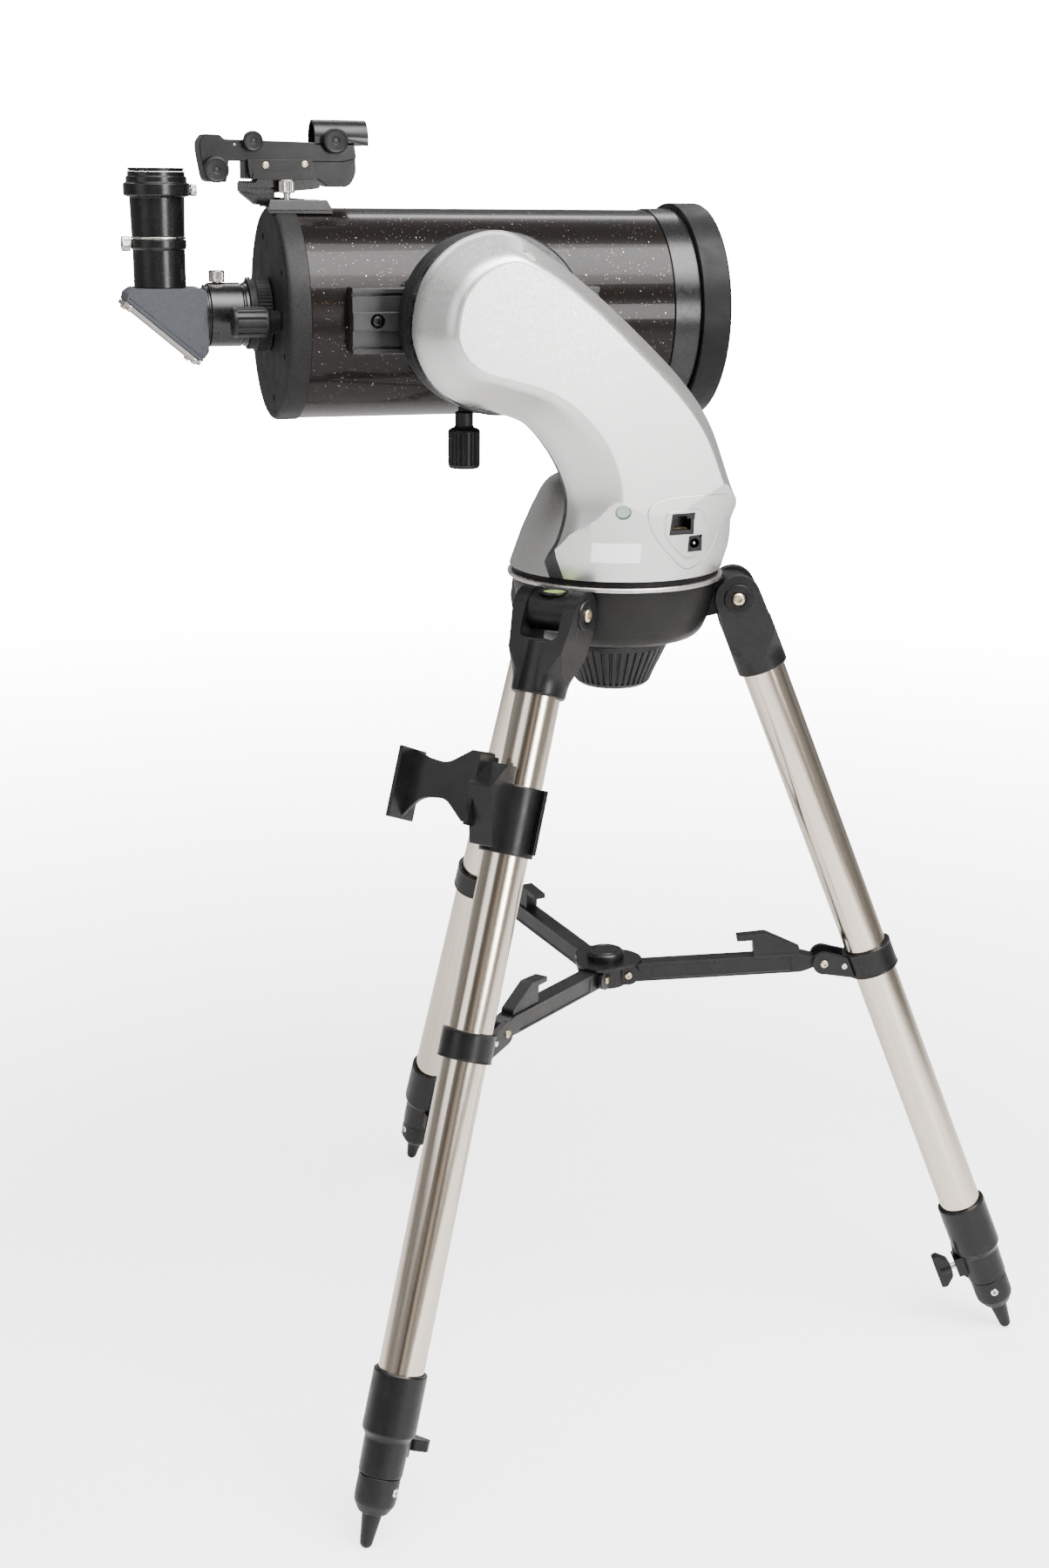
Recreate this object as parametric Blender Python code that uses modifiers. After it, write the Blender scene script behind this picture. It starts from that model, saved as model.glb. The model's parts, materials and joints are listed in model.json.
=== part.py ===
"""A catadioptric Cassegrain telescope on a single-arm motorised mount and a folding tripod.

Metres, +Z up. The origin is on the floor below the middle of the bounding box. The optical
tube points along +X at rest, the arm stands on its -Y side, and the azimuth axis is vertical
through (AXIS_X, AXIS_Y). Everything is modelled around the azimuth axis and then moved there.
"""

import math

import bmesh
import bpy
from mathutils import Matrix, Vector

# Overall frame
AXIS_X, AXIS_Y = 0.0088, -0.0488  # where the azimuth axis stands, from the middle of the box
GAP = 0.0003  # clearance between neighbouring pieces

# Optical tube
ALT_X = -0.104  # altitude axis, along Y
OPTIC_Y, OPTIC_Z = 0.072, 0.7985  # optical axis, along X
TUBE_R, TUBE_WALL = 0.072, 0.0015
TUBE_BACK, TUBE_FRONT = -0.220, 0.041
CELL_R, CAP_R = 0.073, 0.077
CELL_BACK, RING_FRONT, CAP_FRONT = -0.236, 0.061, 0.083
LIGHT_R = 0.0135  # clear radius of the light path behind the mirror
EYEPIECE_R = 0.016  # bore for a 1.25 inch fitting
NOSE_R = 0.0156
EYE_X = -0.311  # eyepiece axis, vertical

# Mount
HEAD_R = 0.061  # round head of the arm, about the altitude axis
ARM_FACE, ARM_EDGE, ARM_BACK = -0.0885, -0.060, -0.0463  # y of the silver shell's face, edge and back
INNER_BACK, HEEL_BACK = -0.0425, -0.0205  # y of the dark shell's back, and of the silver heel's
SHELL_FLOOR = 0.6245
BEARING_R = 0.060
BEARING_FROM, BEARING_TO, SADDLE_TO = -0.0540, -0.0405, -0.0125

# Tripod
LEG_AZIMUTHS = (-137.5, -17.5, 102.5)
LEG_TILT = 22.1
HINGE_R, HINGE_Z = 0.0885, 0.6037
LEG_TUBE_R, INNER_R = 0.0159, 0.0127
FOOT_BALL = 0.0045
FOOT_S = (HINGE_Z - FOOT_BALL) / math.cos(math.radians(LEG_TILT))  # foot ball's distance down the leg
HUB_Z, HUB_PIVOT_R = 0.307, 0.016
SPREAD_S, SPREAD_IN = 0.294, 0.0347  # spreader pivot: down the leg, and inward of its axis
ARM_H, ARM_W = 0.0145, 0.0130

COLOURS = {
    "tube_black": ((0.010, 0.009, 0.009), 0.15, 0.0),
    "cast_black": ((0.035, 0.035, 0.037), 0.55, 0.2),
    "cap_black": ((0.025, 0.025, 0.026), 0.50, 0.0),
    "satin_black": ((0.012, 0.012, 0.013), 0.30, 0.4),
    "grey_black": ((0.075, 0.085, 0.100), 0.45, 0.3),
    "silver_paint": ((0.52, 0.52, 0.51), 0.35, 0.6),
    "dark_grey": ((0.07, 0.07, 0.075), 0.45, 0.1),
    "plastic_black": ((0.012, 0.012, 0.013), 0.38, 0.0),
    "steel": ((0.62, 0.59, 0.54), 0.18, 1.0),
    "nickel": ((0.60, 0.58, 0.55), 0.28, 1.0),
    "glass": ((0.75, 0.85, 0.85), 0.03, 0.0),
    "mirror": ((0.92, 0.92, 0.92), 0.02, 1.0),
}
FLAT_ANGLE = 0.001  # neighbouring faces closer than this, in radians, make one face
# Sides of turned pieces, by size
SIDES, MIDDLE_SIDES, LEG_SIDES, SMALL_SIDES, SCREW_SIDES = 36, 24, 20, 14, 10


def new_collection(name):
    made = bpy.data.collections.new(name)
    bpy.context.scene.collection.children.link(made)
    return made


for old in list(bpy.data.objects):
    bpy.data.objects.remove(old, do_unlink=True)
PARTS = new_collection("cassegrain_telescope")
MATERIALS = {}
EMPTIES = {}  # name: place in the design frame


def material(slot):
    if slot not in MATERIALS:
        colour, roughness, metallic = COLOURS[slot]
        made = bpy.data.materials.new(slot)
        made.use_nodes = True
        shader = made.node_tree.nodes["Principled BSDF"]
        shader.inputs["Base Color"].default_value = (*colour, 1)
        shader.inputs["Roughness"].default_value = roughness
        shader.inputs["Metallic"].default_value = metallic
        MATERIALS[slot] = made
    return MATERIALS[slot]


# Shape helpers. Each returns a linked object in the design frame.


def link(name, mesh):
    made = bpy.data.objects.new(name, mesh)
    PARTS.objects.link(made)
    return made


def baked(obj):
    """The object with its modifiers or its curve turned into a mesh, its caps welded."""
    bpy.context.view_layer.update()
    graph = bpy.context.evaluated_depsgraph_get()
    mesh = bpy.data.meshes.new_from_object(obj.evaluated_get(graph))
    name, place = obj.name, obj.matrix_world.copy()
    bpy.data.objects.remove(obj, do_unlink=True)
    work = bmesh.new()
    work.from_mesh(mesh)
    work.transform(place)
    bmesh.ops.remove_doubles(work, verts=work.verts, dist=1e-6)
    bmesh.ops.recalc_face_normals(work, faces=work.faces)
    work.to_mesh(mesh)
    work.free()
    mesh.name = name
    return link(name, mesh)


def boolean(operation, target, *tools):
    for tool in tools:
        step = target.modifiers.new(operation.lower(), "BOOLEAN")
        step.operation = operation
        step.object = tool
    made = baked(target)
    for tool in tools:
        bpy.data.objects.remove(tool, do_unlink=True)
    return made


def cut(target, *tools):
    return boolean("DIFFERENCE", target, *tools)


def fuse(target, *tools):
    return boolean("UNION", target, *tools)


def common(target, *tools):
    return boolean("INTERSECT", target, *tools)


ALONG = {
    "X": Matrix.Rotation(math.radians(90), 4, "Y"),
    "Y": Matrix.Rotation(math.radians(-90), 4, "X"),
    "Z": Matrix.Identity(4),
}


def turned(name, profile, centre=(0, 0, 0), axis="Z", sides=SIDES, ring=False):
    """A turned solid. profile is (radius, place along the axis), down the outer side from its
    highest place to its lowest; a ring's profile comes back up its inner side."""
    mesh = bpy.data.meshes.new(name)
    count = len(profile)
    edges = [(i, i + 1) for i in range(count - 1)]
    if ring:
        edges.append((count - 1, 0))
    mesh.from_pydata([(radius, 0, along) for radius, along in profile], edges, [])
    made = link(name, mesh)
    turn = made.modifiers.new("turn", "SCREW")
    turn.steps = turn.render_steps = sides
    turn.use_merge_vertices = True
    turn.merge_threshold = 1e-6
    turn.use_smooth_shade = True
    made.matrix_world = Matrix.Translation(centre) @ ALONG[axis]
    return baked(made)


def rod(name, radius, low, high, centre=(0, 0, 0), axis="Z", sides=SMALL_SIDES, top_radius=None):
    """A cylinder or cone along an axis, from low to high on it."""
    work = bmesh.new()
    bmesh.ops.create_cone(
        work,
        cap_ends=True,
        segments=sides,
        radius1=radius,
        radius2=radius if top_radius is None else top_radius,
        depth=high - low,
        matrix=Matrix.Translation((0, 0, (low + high) / 2)),
    )
    work.transform(Matrix.Translation(centre) @ ALONG[axis])
    mesh = bpy.data.meshes.new(name)
    work.to_mesh(mesh)
    work.free()
    return link(name, mesh)


def ring(name, outer, inner, low, high, centre=(0, 0, 0), axis="Z", sides=SIDES):
    return turned(
        name, [(outer, high), (outer, low), (inner, low), (inner, high)], centre, axis, sides, ring=True
    )


def block(name, low, high, bevel=0):
    """A box between two corners, its edges bevelled."""
    size = [b - a for a, b in zip(low, high)]
    middle = [(a + b) / 2 for a, b in zip(low, high)]
    work = bmesh.new()
    bmesh.ops.create_cube(work, size=1, matrix=Matrix.Translation(middle) @ Matrix.Diagonal((*size, 1)))
    mesh = bpy.data.meshes.new(name)
    work.to_mesh(mesh)
    work.free()
    made = link(name, mesh)
    if not bevel:
        return made
    rounding = made.modifiers.new("edges", "BEVEL")
    rounding.width = bevel
    rounding.segments = 1
    return baked(made)


def plate(name, outline, low, high, plane="XZ"):
    """A flat outline given thickness: (x, z) points between y = low and high, (y, z) points
    between x = low and high, or (x, y) points between z = low and high."""
    curve = bpy.data.curves.new(name, "CURVE")
    curve.dimensions = "2D"
    curve.fill_mode = "BOTH"
    curve.extrude = (high - low) / 2
    spline = curve.splines.new("POLY")
    spline.points.add(len(outline) - 1)
    for point, (a, b) in zip(spline.points, outline):
        point.co = (a, b, 0, 1)
    spline.use_cyclic_u = True
    made = link(name, curve)
    middle = (low + high) / 2
    columns = {
        "XY": ((1, 0, 0), (0, 1, 0), (0, 0, 1), (0, 0, middle)),
        "XZ": ((1, 0, 0), (0, 0, 1), (0, -1, 0), (0, middle, 0)),
        "YZ": ((0, 1, 0), (0, 0, 1), (1, 0, 0), (middle, 0, 0)),
    }[plane]
    made.matrix_world = Matrix([(*column, w) for column, w in zip(columns, (0, 0, 0, 1))]).transposed()
    made = baked(made)
    work = bmesh.new()
    work.from_mesh(made.data)
    bmesh.ops.dissolve_limit(work, angle_limit=FLAT_ANGLE, verts=work.verts, edges=work.edges)
    work.to_mesh(made.data)
    work.free()
    return made


def smooth_loop(points, steps):
    """A closed Catmull-Rom curve through the points, with some steps between each pair."""
    vectors = [Vector(point) for point in points]
    found = []
    for i, start in enumerate(vectors):
        before, end, after = vectors[i - 1], vectors[(i + 1) % len(vectors)], vectors[(i + 2) % len(vectors)]
        for step in range(steps):
            t = step / steps
            found.append(
                0.5
                * (
                    2 * start
                    + (end - before) * t
                    + (2 * before - 5 * start + 4 * end - after) * t**2
                    + (3 * start - before - 3 * end + after) * t**3
                )
            )
    return found


def loft(name, loops):
    """A closed body through loops of points with equal counts, capped at both ends."""
    work = bmesh.new()
    rows = [[work.verts.new(point) for point in loop] for loop in loops]
    for lower, upper in zip(rows, rows[1:]):
        for i in range(len(lower)):
            j = (i + 1) % len(lower)
            work.faces.new((lower[i], lower[j], upper[j], upper[i]))
    work.faces.new(rows[0])
    work.faces.new(list(reversed(rows[-1])))
    bmesh.ops.recalc_face_normals(work, faces=work.faces)
    mesh = bpy.data.meshes.new(name)
    work.to_mesh(mesh)
    work.free()
    return link(name, mesh)


def arc(centre, radius, start, end, steps):
    """Points on a circle, from one angle in degrees to another, both ends included."""
    angles = [math.radians(start + (end - start) * i / steps) for i in range(steps + 1)]
    return [(centre[0] + radius * math.cos(a), centre[1] + radius * math.sin(a)) for a in angles]


# Placing helpers


def pivot(name, place, parent=None):
    """An empty on a joint's axis. Its place is in the design frame."""
    made = bpy.data.objects.new(name, None)
    PARTS.objects.link(made)
    EMPTIES[name] = Vector(place)
    if parent:
        made.parent = bpy.data.objects[parent]
        made.location = EMPTIES[name] - EMPTIES[parent]
    else:
        made.location = EMPTIES[name] + Vector((AXIS_X, AXIS_Y, 0))
    return made


def seat(obj, slot, parent):
    """Gives a piece its material, and parents it so that its origin is on the parent's axis."""
    obj.data.transform(Matrix.Translation(-EMPTIES[parent]))
    obj.data.materials.clear()
    obj.data.materials.append(material(slot))
    obj.parent = bpy.data.objects[parent]


def optic(x):
    """The centre of the optical axis at x."""
    return (x, OPTIC_Y, OPTIC_Z)


# Optical tube


def tube_pieces():
    axis = optic(0)
    body = "altitude_axis"
    seat(ring("main_tube", TUBE_R, TUBE_R - TUBE_WALL, TUBE_BACK, TUBE_FRONT, axis, "X", SIDES), "tube_black", body)
    back = TUBE_BACK - GAP
    baffle_front, baffle_tip = -0.150, -0.080
    rear = [
        (0.0105, baffle_tip),
        (LIGHT_R, baffle_front),
        (LIGHT_R, back),
        (CELL_R, back),
        (CELL_R, CELL_BACK + 0.004),
        (CELL_R - 0.0035, CELL_BACK),
        (0.0120, CELL_BACK),
        (0.0120, baffle_front),
        (0.0092, baffle_tip),
    ]
    seat(turned("rear_cell", rear, axis, "X", SIDES, ring=True), "cast_black", body)
    ledge_r, seat_r, ledge_x = 0.060, 0.0645, 0.0475
    front = [
        (CELL_R, RING_FRONT),
        (CELL_R, TUBE_FRONT + GAP),
        (ledge_r, TUBE_FRONT + GAP),
        (ledge_r, ledge_x),
        (seat_r, ledge_x),
        (seat_r, RING_FRONT),
    ]
    seat(turned("front_cell", front, axis, "X", SIDES, ring=True), "satin_black", body)
    lens_r, lens_back, lens_front, hollow = 0.0640, 0.0480, 0.0550, 0.004
    rim = 4
    face = [(lens_r * i / rim, lens_front - hollow * (1 - (i / rim) ** 2)) for i in range(rim + 1)]
    rear_face = [(lens_r * i / rim, lens_back - hollow * (1 - (i / rim) ** 2)) for i in range(rim, -1, -1)]
    seat(turned("corrector_lens", face + rear_face, axis, "X"), "glass", body)
    mirror_r, hole_r, glass_back, glass_front, dish = 0.066, 0.0140, -0.207, -0.193, 0.004
    face = [
        (hole_r + (mirror_r - hole_r) * i / rim, glass_front - dish * (1 - (i / rim) ** 2))
        for i in range(rim, -1, -1)
    ]
    profile = [face[0], (mirror_r, glass_back), (hole_r, glass_back), *reversed(face[1:])]
    seat(turned("primary_mirror", profile, axis, "X", ring=True), "mirror", body)
    lip_back, lip_r, lip_in, skin = 0.0573, 0.0641, 0.0615, 0.0025
    cap = [
        (0, CAP_FRONT),
        (CAP_R - 0.0015, CAP_FRONT),
        (CAP_R, CAP_FRONT - 0.0015),
        (CAP_R, RING_FRONT + GAP),
        (lip_r, RING_FRONT + GAP),
        (lip_r, lip_back),
        (lip_in, lip_back),
        (lip_in, CAP_FRONT - skin),
        (0, CAP_FRONT - skin),
    ]
    seat(turned("dust_cap", cap, axis, "X", SIDES), "cap_black", "cap_slide")


FOCUS_Y, FOCUS_Z = 0.030, 0.796


def rear_pieces():
    """The focus knob, the locking ring and the visual back, behind the rear cell."""
    knob = [
        (0, -0.2365),
        (0.0060, -0.2365),
        (0.0060, -0.2430),
        (0.0095, -0.2440),
        (0.0100, -0.2460),
        (0.0100, -0.2675),
        (0.0085, -0.2690),
        (0, -0.2690),
    ]
    seat(turned("focus_knob", knob, (0, FOCUS_Y, FOCUS_Z), "X", SMALL_SIDES), "plastic_black", "focus_axis")
    locking = [(0.0240, -0.2365), (0.0255, -0.2375), (0.0255, -0.2510), (0.0240, -0.2520)]
    locking += [(LIGHT_R, -0.2520), (LIGHT_R, -0.2365)]
    seat(turned("visual_back_ring", locking, optic(0), "X", MIDDLE_SIDES, ring=True), "cast_black", "altitude_axis")
    back = ring("visual_back", 0.0218, EYEPIECE_R, -0.2790, -0.2523, optic(0), "X", MIDDLE_SIDES)
    hole = rod("hole", 0.0021, 0, 0.030, optic(BACK_SCREW_X), "Z", SCREW_SIDES)
    seat(cut(back, hole), "satin_black", "altitude_axis")
    screw = [(0, 0.0300), (0.0050, 0.0300), (0.0055, 0.0293), (0.0055, 0.0221), (0.0018, 0.0221)]
    screw += [(0.0018, 0.0165), (0, 0.0165)]
    seat(turned("visual_back_thumbscrew", screw, optic(BACK_SCREW_X), "Z", SCREW_SIDES), "nickel", "back_screw_axis")


BACK_SCREW_X = -0.272

# Star diagonal, Barlow and their screws

PRISM = [(-0.3305, 0.8170), (-0.2840, 0.8170), (-0.2815, 0.8140), (-0.2815, 0.7745)]
HYPOTENUSE = ((-0.3385, 0.8065), (-0.2890, 0.7650))  # outer face of the cover plate
COVER_THICK, PRISM_HALF = 0.0030, 0.0190


def slanted(name, along_from, along_to, depth_from, depth_to, half_width):
    """A plate parallel to the diagonal's slanting face: its length runs along that face from
    the upper end, and its depth goes in from the outer face."""
    start, end = (Vector((x, 0, z)) for x, z in HYPOTENUSE)
    along = (end - start).normalized()
    inward = Vector((-along.z, 0, along.x))
    corners = [
        start + along * a + inward * d
        for a, d in (
            (along_from, depth_from),
            (along_to, depth_from),
            (along_to, depth_to),
            (along_from, depth_to),
        )
    ]
    outline = [(corner.x, corner.z) for corner in corners]
    return plate(name, outline, OPTIC_Y - half_width, OPTIC_Y + half_width)


def diagonal_pieces():
    start, end = (Vector((x, z)) for x, z in HYPOTENUSE)
    length = (end - start).length
    inward = Vector((start.y - end.y, end.x - start.x)) / length * (COVER_THICK + GAP)
    outline = [*PRISM, tuple(end + inward), tuple(start + inward), (-0.3350, 0.8140)]
    body = plate("diagonal_body", outline, OPTIC_Y - PRISM_HALF, OPTIC_Y + PRISM_HALF)
    body = fuse(body, rod("nose", NOSE_R, -0.2900, -0.2570, optic(0), "X", MIDDLE_SIDES))
    in_bore = rod("in_bore", LIGHT_R - 0.001, -0.3080, -0.2500, optic(0), "X", SMALL_SIDES)
    up_bore = rod("up_bore", LIGHT_R - 0.001, OPTIC_Z, 0.830, (EYE_X, OPTIC_Y, 0), "Z", SMALL_SIDES)
    pocket = slanted("pocket", 0.012, length - 0.012, 0.0, COVER_THICK + 0.0035, 0.0133)
    seat(cut(body, in_bore, up_bore, pocket), "grey_black", "diagonal_axis")
    seat(slanted("diagonal_cover", 0, length, 0, COVER_THICK, PRISM_HALF - 0.0005), "nickel", "diagonal_axis")
    mirror = slanted("diagonal_mirror", 0.0125, length - 0.0125, COVER_THICK + GAP, 0.0060, 0.0130)
    seat(mirror, "mirror", "diagonal_axis")
    eye = (EYE_X, OPTIC_Y, 0)
    holder = [(0.0190, 0.8490), (0.0190, 0.8432), (0.01775, 0.8425), (0.01775, 0.8173)]
    holder += [(EYEPIECE_R, 0.8173), (EYEPIECE_R, 0.8490)]
    hole = rod("hole", 0.0020, EYE_X - 0.030, EYE_X, (0, OPTIC_Y, EYE_SCREW_Z), "X", SCREW_SIDES)
    seat(cut(turned("eyepiece_holder", holder, eye, "Z", MIDDLE_SIDES, ring=True), hole), "satin_black", "diagonal_axis")
    screw = [(0, -0.0165), (0.0017, -0.0165), (0.0017, -0.0193), (0.0045, -0.0193)]
    screw += [(0.0050, -0.0200), (0.0050, -0.0245), (0.0045, -0.0252), (0, -0.0252)]
    place = (EYE_X, OPTIC_Y, EYE_SCREW_Z)
    seat(turned("eyepiece_thumbscrew", screw, place, "X", SCREW_SIDES), "nickel", "eye_screw_axis")
    barlow = [
        (0.0193, 0.8960),
        (0.0193, 0.8905),
        (0.0205, 0.8900),
        (0.0205, 0.8865),
        (0.0225, 0.8860),
        (0.0225, 0.8772),
        (0.0185, 0.8768),
        (0.0185, 0.8515),
        (0.0180, 0.8510),
        (0.0180, 0.8493),
        (NOSE_R, 0.8493),
        (NOSE_R, 0.8190),
        (0.0125, 0.8190),
        (0.0125, 0.8550),
        (EYEPIECE_R, 0.8550),
        (EYEPIECE_R, 0.8960),
    ]
    tube = turned("barlow_tube", barlow, eye, "Z", MIDDLE_SIDES, ring=True)
    hole = rod("hole", 0.0020, EYE_X, EYE_X + 0.030, (0, OPTIC_Y, BARLOW_SCREW_Z), "X", SCREW_SIDES)
    seat(cut(tube, hole), "satin_black", "barlow_slide")
    screw = [(0, 0.0270), (0.0036, 0.0270), (0.0040, 0.0264), (0.0040, 0.0228), (0.0016, 0.0228)]
    screw += [(0.0016, 0.0165), (0, 0.0165)]
    place = (EYE_X, OPTIC_Y, BARLOW_SCREW_Z)
    seat(turned("barlow_thumbscrew", screw, place, "X", SCREW_SIDES), "nickel", "barlow_screw_axis")


EYE_SCREW_Z, BARLOW_SCREW_Z = 0.8462, 0.8815

# Finder and dovetail


def finder_pieces():
    body = "altitude_axis"
    shoe = block("finder_shoe", (-0.239, 0.046, 0.860), (-0.195, 0.084, 0.876), 0.001)
    under = rod("under", CELL_R + GAP, -0.260, -0.150, optic(0), "X", 48)
    hole = rod("hole", 0.0026, 0.868, 0.880, (SHOE_SCREW_X, SHOE_SCREW_Y, 0), "Z", SCREW_SIDES)
    seat(cut(shoe, under, hole), "satin_black", body)
    screw = [(0, 0.8890), (0.0050, 0.8890), (0.0055, 0.8883), (0.0055, 0.8795), (0.0024, 0.8795)]
    screw += [(0.0024, 0.8702), (0, 0.8702)]
    seat(turned("finder_thumbscrew", screw, (SHOE_SCREW_X, SHOE_SCREW_Y, 0), "Z", SCREW_SIDES), "nickel", "shoe_screw_axis")
    bracket = plate(
        "finder_bracket",
        [(-0.2540, 0.8805), (-0.2300, 0.8805), (-0.2300, 0.8875), (-0.2540, 0.8875)],
        0.0605,
        0.0835,
    )
    rail = block("rail", (-0.2400, 0.0605, 0.8890 - 0.0020), (-0.2120, 0.0835, 0.8890))
    step = block("step", (-0.2400, 0.0605, 0.8840), (-0.2290, 0.0835, 0.8880))
    stalk = plate(
        "stalk",
        [(-0.2535, 0.8820), (-0.2440, 0.8725), (-0.2395, 0.8725), (-0.2395, 0.8765), (-0.2310, 0.8765)]
        + [(-0.2310, 0.8830)],
        0.0660,
        0.0780,
    )
    seat(fuse(bracket, rail, step, stalk), "satin_black", body)
    outline = [
        (-0.2830, 0.9130),
        (-0.2790, 0.9185),
        (-0.2690, 0.9180),
        (-0.2655, 0.9150),
        (-0.2020, 0.9140),
        (-0.2005, 0.9290),
        (-0.1680, 0.9290),
        (-0.1715, 0.9080),
        (-0.1745, 0.9036),
        (-0.1745, 0.8960),
        (-0.1790, 0.8893),
        (-0.2520, 0.8893),
        (-0.2520, 0.9040),
        (-0.2630, 0.9040),
        (-0.2650, 0.8870),
        (-0.2790, 0.8870),
        (-0.2820, 0.9046),
    ]
    main = plate("finder_body", outline, 0.0600, 0.0840)
    window = block("window", (-0.2100, 0.0630, 0.9160), (-0.1500, 0.0810, 0.9265))
    seat(cut(main, window), "plastic_black", body)
    for name, x, z, radius in (
        ("finder_power_knob", *POWER_KNOB, 0.0085),
        ("finder_tilt_knob", *TILT_KNOB, 0.0085),
    ):
        disc = [(0, 0.0597), (radius * 0.55, 0.0597), (radius, 0.0585), (radius, 0.0540)]
        disc += [(radius * 0.9, 0.0532), (0, 0.0532)]
        seat(turned(name, disc, (x, 0, z), "Y", SMALL_SIDES), "plastic_black", name + "_axis")


SHOE_SCREW_X, SHOE_SCREW_Y = -0.225, 0.0540
POWER_KNOB, TILT_KNOB = (-0.190, 0.915), (-0.2725, 0.8950)


def saddle_pieces():
    bar = block("dovetail_bar", (-0.195, -0.0120, OPTIC_Z - 0.022), (-0.020, 0.0045, OPTIC_Z + 0.022))
    tube = rod("tube", TUBE_R + GAP, -0.25, 0.10, optic(0), "X", 72)
    grooves = [
        block("groove", (-0.2, -0.02, OPTIC_Z + side * 0.0175 - 0.001), (0, -0.0095, OPTIC_Z + side * 0.0175 + 0.001))
        for side in (-1, 1)
    ]
    seat(cut(bar, tube, *grooves), "satin_black", "altitude_axis")
    centre = (ALT_X, 0, OPTIC_Z)
    saddle = rod("saddle", BEARING_R, BEARING_TO + GAP, SADDLE_TO, centre, "Y", SIDES)
    jaws = [
        block("jaw", (ALT_X - 0.030, -0.016, low), (ALT_X + 0.030, -0.004, low + 0.006))
        for low in (OPTIC_Z + 0.0224, OPTIC_Z - 0.0284)
    ]
    saddle = fuse(saddle, *jaws)
    saddle = cut(saddle, rod("hole", 0.0044, 0.730, 0.7535, (KNOB_X, KNOB_Y, 0), "Z", SCREW_SIDES))
    seat(saddle, "satin_black", "altitude_axis")
    knob = [
        (0, 0.7520),
        (0.0040, 0.7520),
        (0.0040, 0.7395),
        (0.0060, 0.7390),
        (0.0060, 0.7285),
        (0.0100, 0.7280),
        (0.0110, 0.7265),
        (0.0110, 0.7030),
        (0.0095, 0.7010),
        (0, 0.7010),
    ]
    seat(turned("saddle_knob", knob, (KNOB_X, KNOB_Y, 0), "Z", SMALL_SIDES), "plastic_black", "saddle_knob_axis")
    shaft = rod("altitude_shaft", 0.0100, -0.0780, BEARING_TO, centre, "Y", SMALL_SIDES)
    seat(shaft, "nickel", "altitude_axis")
    bearing = ring("altitude_bearing", BEARING_R, 0.0103, BEARING_FROM, BEARING_TO, centre, "Y", SIDES)
    seat(bearing, "satin_black", "azimuth_axis")


KNOB_X, KNOB_Y = -0.1225, -0.0300

# Arm: outline points are (x, z, chamfer width), round the arm from its foot on the +X side

ARM_OUTLINE = [
    (0.0820, 0.6050, 0.002),
    (0.0790, 0.6500, 0.004),
    (0.0710, 0.6720, 0.010),
    (0.0625, 0.6900, 0.012),
    (0.0460, 0.7310, 0.013),
    (0.0240, 0.7610, 0.013),
    (-0.0080, 0.7920, 0.013),
    (-0.0420, 0.8210, 0.012),
    (-0.0750, 0.8450, 0.013),
    (-0.1040, 0.8590, 0.016),
    (-0.1345, 0.8518, 0.018),
    (-0.1570, 0.8295, 0.019),
    (-0.1650, 0.7990, 0.019),
    (-0.1615, 0.7780, 0.019),
    (-0.1507, 0.7598, 0.020),
    (-0.1340, 0.7480, 0.020),
    (-0.1090, 0.7410, 0.020),
    (-0.0860, 0.7320, 0.021),
    (-0.0680, 0.7120, 0.024),
    (-0.0570, 0.6900, 0.024),
    (-0.0550, 0.6720, 0.022),
    (-0.0600, 0.6520, 0.016),
    (-0.0680, 0.6380, 0.009),
    (-0.0820, 0.6050, 0.003),
]
# Radius that the arm's foot and cover keep inside, against height
FOOT_PROFILE = [
    (0.0772, SHELL_FLOOR),
    (0.0812, 0.6400),
    (0.0840, 0.6580),
    (0.0890, 0.6750),
    (0.0970, 0.6900),
    (0.1120, 0.7060),
    (0.1400, 0.7200),
    (0.2100, 0.7350),
    (0.2100, 0.8800),
]


def arm_loop(y, share, inset=0.0):
    """The arm's outline at y, moved in by a share of its chamfer and by a fixed inset."""
    points = smooth_loop(ARM_OUTLINE, 2)
    moved = []
    for i, point in enumerate(points):
        ahead, behind = points[(i + 1) % len(points)], points[i - 1]
        tangent = Vector((ahead.x - behind.x, ahead.y - behind.y)).normalized()
        normal = Vector((-tangent.y, tangent.x))
        place = Vector((point.x, point.y)) + normal * (point.z * share + inset)
        moved.append((place.x, y, place.y))
    return moved


def foot_envelope(name):
    return turned(name, [(0, 0.8800), *reversed(FOOT_PROFILE), (0, SHELL_FLOOR)], sides=48)


HANDSET_PORT = (0.009, 0.027, 0.658, 0.673)  # x from, x to, z from, z to
POWER_PORT = (0.0250, 0.0360, 0.6450, 0.6560)
HANDSET_FRONT, POWER_FRONT, PORT_DEPTH = -0.0830, -0.0765, 0.014


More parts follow.
